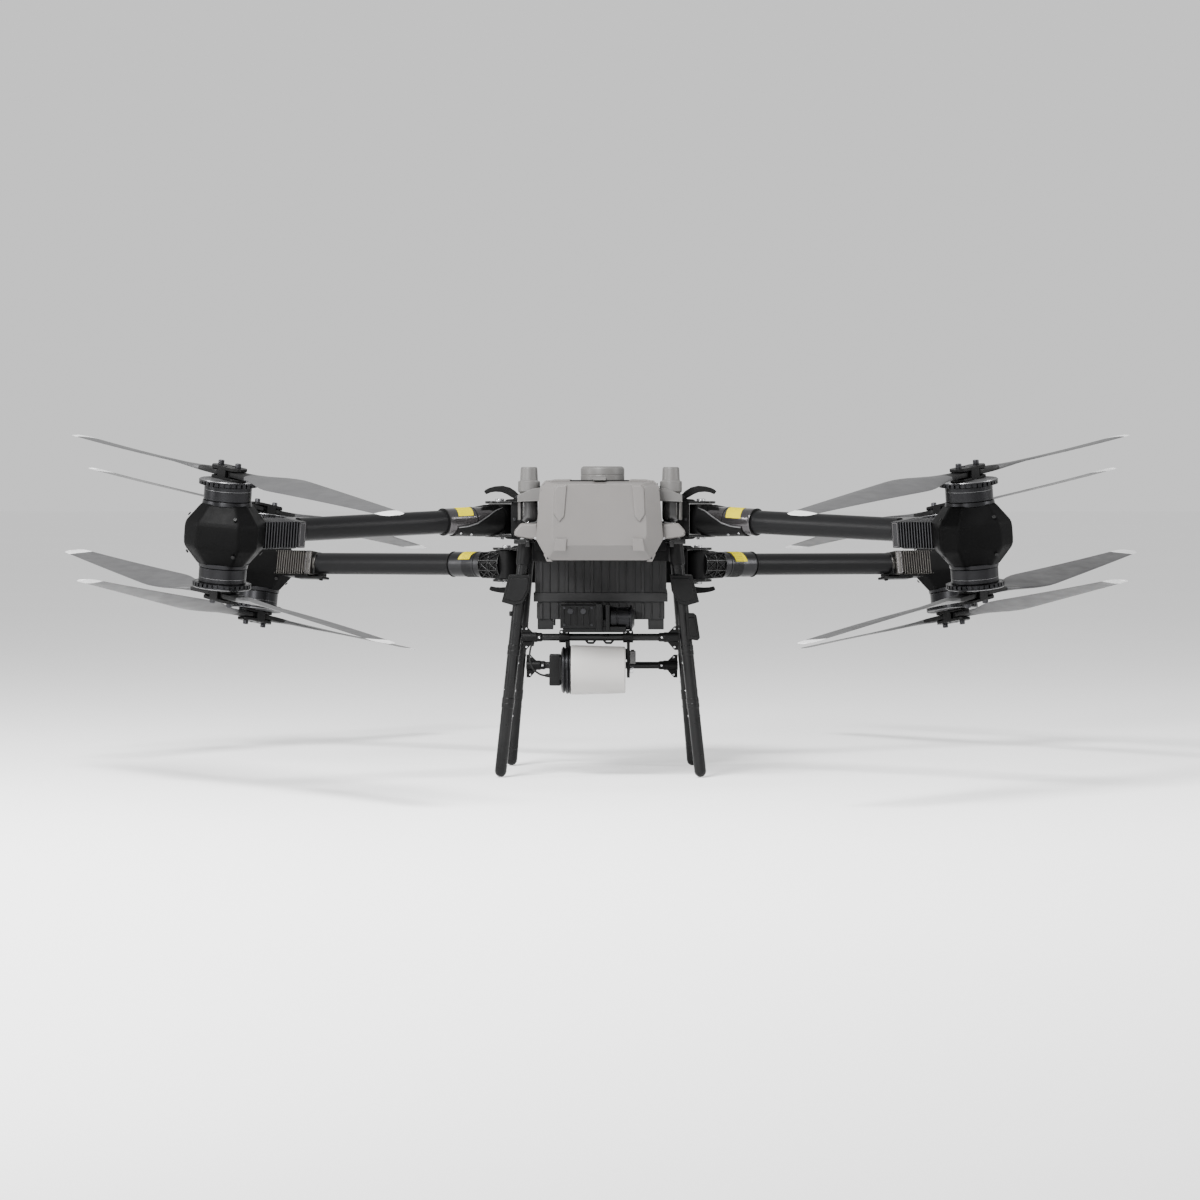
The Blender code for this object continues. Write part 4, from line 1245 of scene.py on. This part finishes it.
def make_radar():
    low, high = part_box("radar_drum")
    centre = (low + high) / 2
    start, end = low.x, high.x
    big, small = (high.z - low.z) / 2, (high.z - low.z) / 2 - 0.0035
    drum = turned(
        (
            (big - 0.012, 0.0), (big - 0.0015, 0.0004), (big, 0.002), (big, 0.0075),
            (big - 0.0005, 0.0078), (big - 0.0005, 0.009), (big, 0.0093), (small, end - start - 0.003),
            (small - 0.003, end - start - 0.0002),
        ),
        96,
    )
    place = aimed((start, centre.y, centre.z), (end, centre.y, centre.z))
    piece("radar_drum_skin", [drum], "drum", "radar_drum", place, 0.0005, ("radar_drum",))
    make_radar_mount(start, end, centre)


def make_radar_mount(start, end, centre):
    low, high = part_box("radar_mount")
    y, z = centre.y, centre.z
    ring = turned(
        (
            (0.04, 0.0), (0.05, 0.002), (0.0545, 0.005), (0.0545, 0.0085), (0.0515, 0.0095),
            (0.0515, 0.0115), (0.056, 0.013), (0.056, 0.018), (0.054, 0.0188), (0.054, 0.02),
            (0.057, 0.021), (0.057, 0.0235),
        ),
        80,
    )
    ring = moved(ring, aimed((start - 0.024, y, z), (start, y, z)))
    fixed("radar_ring", [ring], "bell", 0.0006, "radar_mount")
    motor = [
        box((low.x, y - 0.02, 0.2165), (start - 0.024, y + 0.024, 0.29)),
        box((start - 0.028, y - 0.026, 0.23), (start - 0.02, y + 0.026, 0.284)),
    ]
    fixed("radar_motor", motor, "plastic", 0.003)
    bar = high.z
    hangers = []
    for x, wide in ((start - 0.008, 0.01), (end + 0.0065, 0.007)):
        outline = (
            (y - 0.014, bar), (y + 0.03, bar), (y + 0.016, z - 0.004), (y + 0.006, z - 0.018),
            (y - 0.01, z - 0.018), (y - 0.015, z),
        )
        hangers.append(plate(outline, x - wide / 2, x + wide / 2, "x"))
        hangers.append(block((x, y + 0.048, 0.306), (wide, 0.05, 0.022)))
    hangers.append(box((start - 0.013, y + 0.066, 0.274), (end + 0.01, y + 0.078, 0.3)))
    for x in (-0.023, 0.019):
        path = ((x - 0.011, 0.323), (x - 0.006, 0.3165), (x + 0.006, 0.3165), (x + 0.011, 0.323))
        hangers.append(plate(strip(path, 0.0026), y - 0.006, y + 0.004))
    for x in (start - 0.016, end + 0.006):
        hangers.append(rod((x - 0.012, y, 0.33), (x + 0.012, y, 0.33), 0.0128))
        hangers.append(block((x, y - 0.004, 0.3425), (0.022, 0.018, 0.008)))
    fixed("radar_hangers", hangers, "casting", 0.0012)
    sensor = [box((end + 0.0095, y - 0.016, 0.268), (end + 0.024, y + 0.012, 0.298))]
    sensor.append(block((end + 0.0165, y - 0.002, 0.299), (0.009, 0.012, 0.004)))
    fixed("radar_sensor", sensor, "lamp", 0.0022)
    screws = [bolt((end + 0.01, y, z), (1, 0, 0), 0.0075, 0.008)]
    for x in (start - 0.016, end + 0.006):
        for step in (-0.006, 0.006):
            screws.append(bolt((x + step, y - 0.0125, 0.3425), (0, -1, 0), 0.0024, 0.0016))
    fixed("radar_screws", screws, "steel", 0.0004)
    make_radar_cable()


def make_radar_cable():
    """The CAD cable keeps its shape and gets a jacket finish and two strain reliefs."""
    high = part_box("radar_cable")[1]
    bpy.data.objects["radar_cable"].material_slots[0].material = FINISHES["rubber"]
    y, cable_z, hang_x = RADAR_Y, 0.24, -0.16
    glands = [
        rod((high.x - 0.01, y, cable_z), (high.x + 0.002, y, cable_z), 0.0036, 0.0052, 20),
        rod((hang_x, y, high.z - 0.009), (hang_x, y, high.z + 0.003), 0.0036, 0.0056, 20),
    ]
    fixed("radar_cable_glands", glands, "plastic", 0.0005)


# Landing gear


def leg_line(name):
    """(foot, top) of a leg's centre line, from its CAD node."""
    low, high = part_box(name)
    side = 1 if low.x + high.x > 0 else -1
    foot_x, y = FEET[name.split("_")[1]]
    return Vector((side * foot_x, y, 0.0)), Vector((side * LEG_HEAD_X, y, high.z)), side


def make_leg(end, side_name):
    name = f"leg_{end}_{side_name}"
    foot, top, side = leg_line(name)
    way, length = (top - foot).normalized(), (top - foot).length
    radius = LEG_RADIUS
    profile = [
        (radius * math.sin(turn), radius * (1 - math.cos(turn)))
        for turn in (0.35, 0.6, 0.9, 1.2, math.pi / 2)
    ]
    for height in (0.175, 0.3):
        profile += [
            (radius, height - 0.012), (radius + 0.0011, height - 0.0112),
            (radius + 0.0011, height - 0.0008),
        ]
        profile += [
            (radius + 0.0003, height), (radius + 0.0011, height + 0.0008),
            (radius + 0.0011, height + 0.0112),
        ]
        profile.append((radius, height + 0.012))
    profile.append((radius, length))
    tube = moved(turned(profile, 40), aimed(foot + Vector((0, 0, 0.0012)), top))
    fixed(f"{name}_tube", [tube], "leg", 0.0005, name)

    def at(height):
        return foot + way * (height / way.z)

    fittings = [rod(at(0.5), at(top.z - 0.001), radius + 0.003, sides=40)]
    screws = []
    for height in (0.145, 0.205, 0.27, 0.35):
        for facing in (side, -side):
            out = Vector((facing, 0, 0))
            screws.append(bolt(at(height) + out * (radius - 0.0004), out, 0.0026, 0.0014))
    if end == "front":
        middle = Matrix.Translation(at(0.446))
        outline = (
            (-0.025, 0.031), (0.027, 0.03), (0.044, -0.033), (0.016, -0.041), (-0.006, -0.036),
            (-0.021, -0.006),
        )
        outline = mirrored(outline, side)
        fittings.append(moved(plate(outline, -0.022, 0.022), middle))
        fittings.append(moved(plate([(x * 0.82, z * 0.78) for x, z in outline], -0.0245, 0.0), middle))
    if end == "front" and side > 0:
        middle = Matrix.Translation(at(0.3545))
        outline = (
            (0.002, 0.032), (0.022, 0.032), (0.028, 0.026), (0.036, -0.026), (0.03, -0.032),
            (0.006, -0.028),
        )
        fittings.append(moved(plate(outline, -0.018, 0.018), middle))
        inner = [(0.019 + (x - 0.019) * 0.62, z * 0.72) for x, z in outline]
        fittings.append(moved(plate(inner, -0.0205, 0.0), middle))
    if end == "front" and side < 0:
        ends = [at(0.385) - Vector((reach, 0, 0)) for reach in (0.012, 0.02)]
        fittings.append(rod(*ends, 0.006, sides=24))
    fixed(f"{name}_fittings", fittings, "plastic", 0.002)
    fixed(f"{name}_screws", screws, "steel", 0.0003)


def make_crossbar(name):
    """Tube, stepped sockets, rivets and gusset plates."""
    low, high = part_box(name)
    y, z = (low.y + high.y) / 2, low.z + 0.03
    reach = high.x
    radius = 0.0085
    bar = rod((-reach + 0.01, y, z), (reach - 0.01, y, z), radius, sides=40)
    fixed(f"{name}_tube", [bar], "leg", 0, name)
    ends, rivets = [], []
    for side in SIDES.values():
        socket = turned(
            ((radius, 0), (0.0105, 0.003), (0.0105, 0.012), (0.0118, 0.014), (0.0118, 0.048)), 40,
        )
        ends.append(moved(socket, aimed((side * (reach - 0.048), y, z), (side * reach, y, z))))
        outline = [
            (side * x, height)
            for x, height in (
                (reach - 0.036, z), (reach - 0.01, z - 0.03), (reach - 0.001, z - 0.03),
                (reach - 0.001, z + 0.026), (reach - 0.01, z + 0.026),
            )
        ]
        ends.append(plate(outline, y - 0.0035, y + 0.0035))
        for x, height in ((reach - 0.04, z), (reach - 0.01, z + 0.02), (reach - 0.01, z - 0.023)):
            depth = 0.0104 if height == z else 0.0033
            for face in (1, -1):
                rivets.append(bolt((side * x, y + face * depth, height), (0, face, 0), 0.0026, 0.0012))
    fixed(f"{name}_sockets", ends, "casting", 0.001)
    fixed(f"{name}_rivets", rivets, "steel", 0.0003)


# Studio


def looking(at, way):
    """Matrix of a lamp or camera at a point that looks along a direction."""
    return Matrix.Translation(at) @ way.to_track_quat("-Z", "Y").to_matrix().to_4x4()


def area_light(name, at, target, size, power):
    light = bpy.data.lights.new(name, "AREA")
    light.shape = "RECTANGLE"
    light.size, light.size_y = size
    light.energy = power
    made = bpy.data.objects.new(name, light)
    made.matrix_world = looking(Vector(at), Vector(target) - Vector(at))
    bpy.context.scene.collection.objects.link(made)


def make_studio():
    """A pale floor, soft light from above and both sides, and a camera far in front."""
    floor_mesh = bpy.data.meshes.new("studio_floor")
    ground = bmesh.new()
    bmesh.ops.create_grid(ground, x_segments=1, y_segments=1, size=60.0)
    ground.to_mesh(floor_mesh)
    ground.free()
    floor = bpy.data.objects.new("studio_floor", floor_mesh)
    bpy.context.scene.collection.objects.link(floor)
    finish = Finish("floor_white", (0.88, 0.88, 0.88), 0.8, specular=0.1).mottle(0.6, 0.008)
    floor_mesh.materials.append(finish.material)
    world = bpy.data.worlds.new("studio_world")
    bpy.context.scene.world = world
    world.use_nodes = True
    nodes, links = world.node_tree.nodes, world.node_tree.links
    direction = nodes.new("ShaderNodeTexCoord").outputs["Generated"]
    height = nodes.new("ShaderNodeSeparateXYZ")
    ramp = nodes.new("ShaderNodeMapRange")
    ramp.inputs["From Min"].default_value = 0.05
    ramp.inputs["From Max"].default_value = 0.9
    ramp.inputs["To Min"].default_value = 0.9
    ramp.inputs["To Max"].default_value = 1.0
    links.new(direction, height.inputs["Vector"])
    links.new(height.outputs["Z"], ramp.inputs["Value"])
    links.new(ramp.outputs["Result"], nodes["Background"].inputs["Strength"])
    nodes["Background"].inputs["Color"].default_value = (1.0, 1.0, 1.0, 1.0)
    middle = (0, 0, 0.45)
    area_light("key_above", (-1.4, -3.0, 4.2), middle, (1.6, 1.0), 560)
    area_light("key_front", (-2.4, -6.4, 2.7), middle, (1.6, 1.2), 520)
    area_light("side_left", (-4.5, -1.6, 1.9), middle, (0.8, 2.2), 200)
    area_light("side_right", (4.5, -1.2, 2.1), middle, (0.8, 2.2), 160)
    camera = bpy.data.cameras.new("camera")
    camera.sensor_width = 36.0
    camera.lens = 131.7
    camera.clip_end = 200.0
    made = bpy.data.objects.new("camera", camera)
    bpy.context.scene.collection.objects.link(made)
    at = Vector((0.098, -CAMERA_DISTANCE, 0.732))
    aim = Vector((-0.003 - at.x, CAMERA_DISTANCE, -CAMERA_DISTANCE * math.tan(CAMERA_TILT)))
    made.matrix_world = looking(at, aim)
    bpy.context.scene.camera = made


def main():
    for end in ENDS:
        for side_name in SIDES:
            arm = Arm(end, side_name)
            make_arm_root(arm)
            make_lever(arm)
            make_arm(arm)
            make_pod(arm)
            for level_name, level in LEVELS.items():
                make_rotor(arm, level, level_name)
                for end_name, way in (("a", 1), ("b", -1)):
                    make_blade(arm, level, level_name, way, end_name)
            make_leg(end, side_name)
        make_crossbar(f"crossbar_{end}")
    make_nose()
    make_nose_latch()
    make_antennas()
    make_frame()
    make_flight_controller()
    make_tank()
    make_battery()
    make_pump()
    make_radar()
    make_studio()


main()
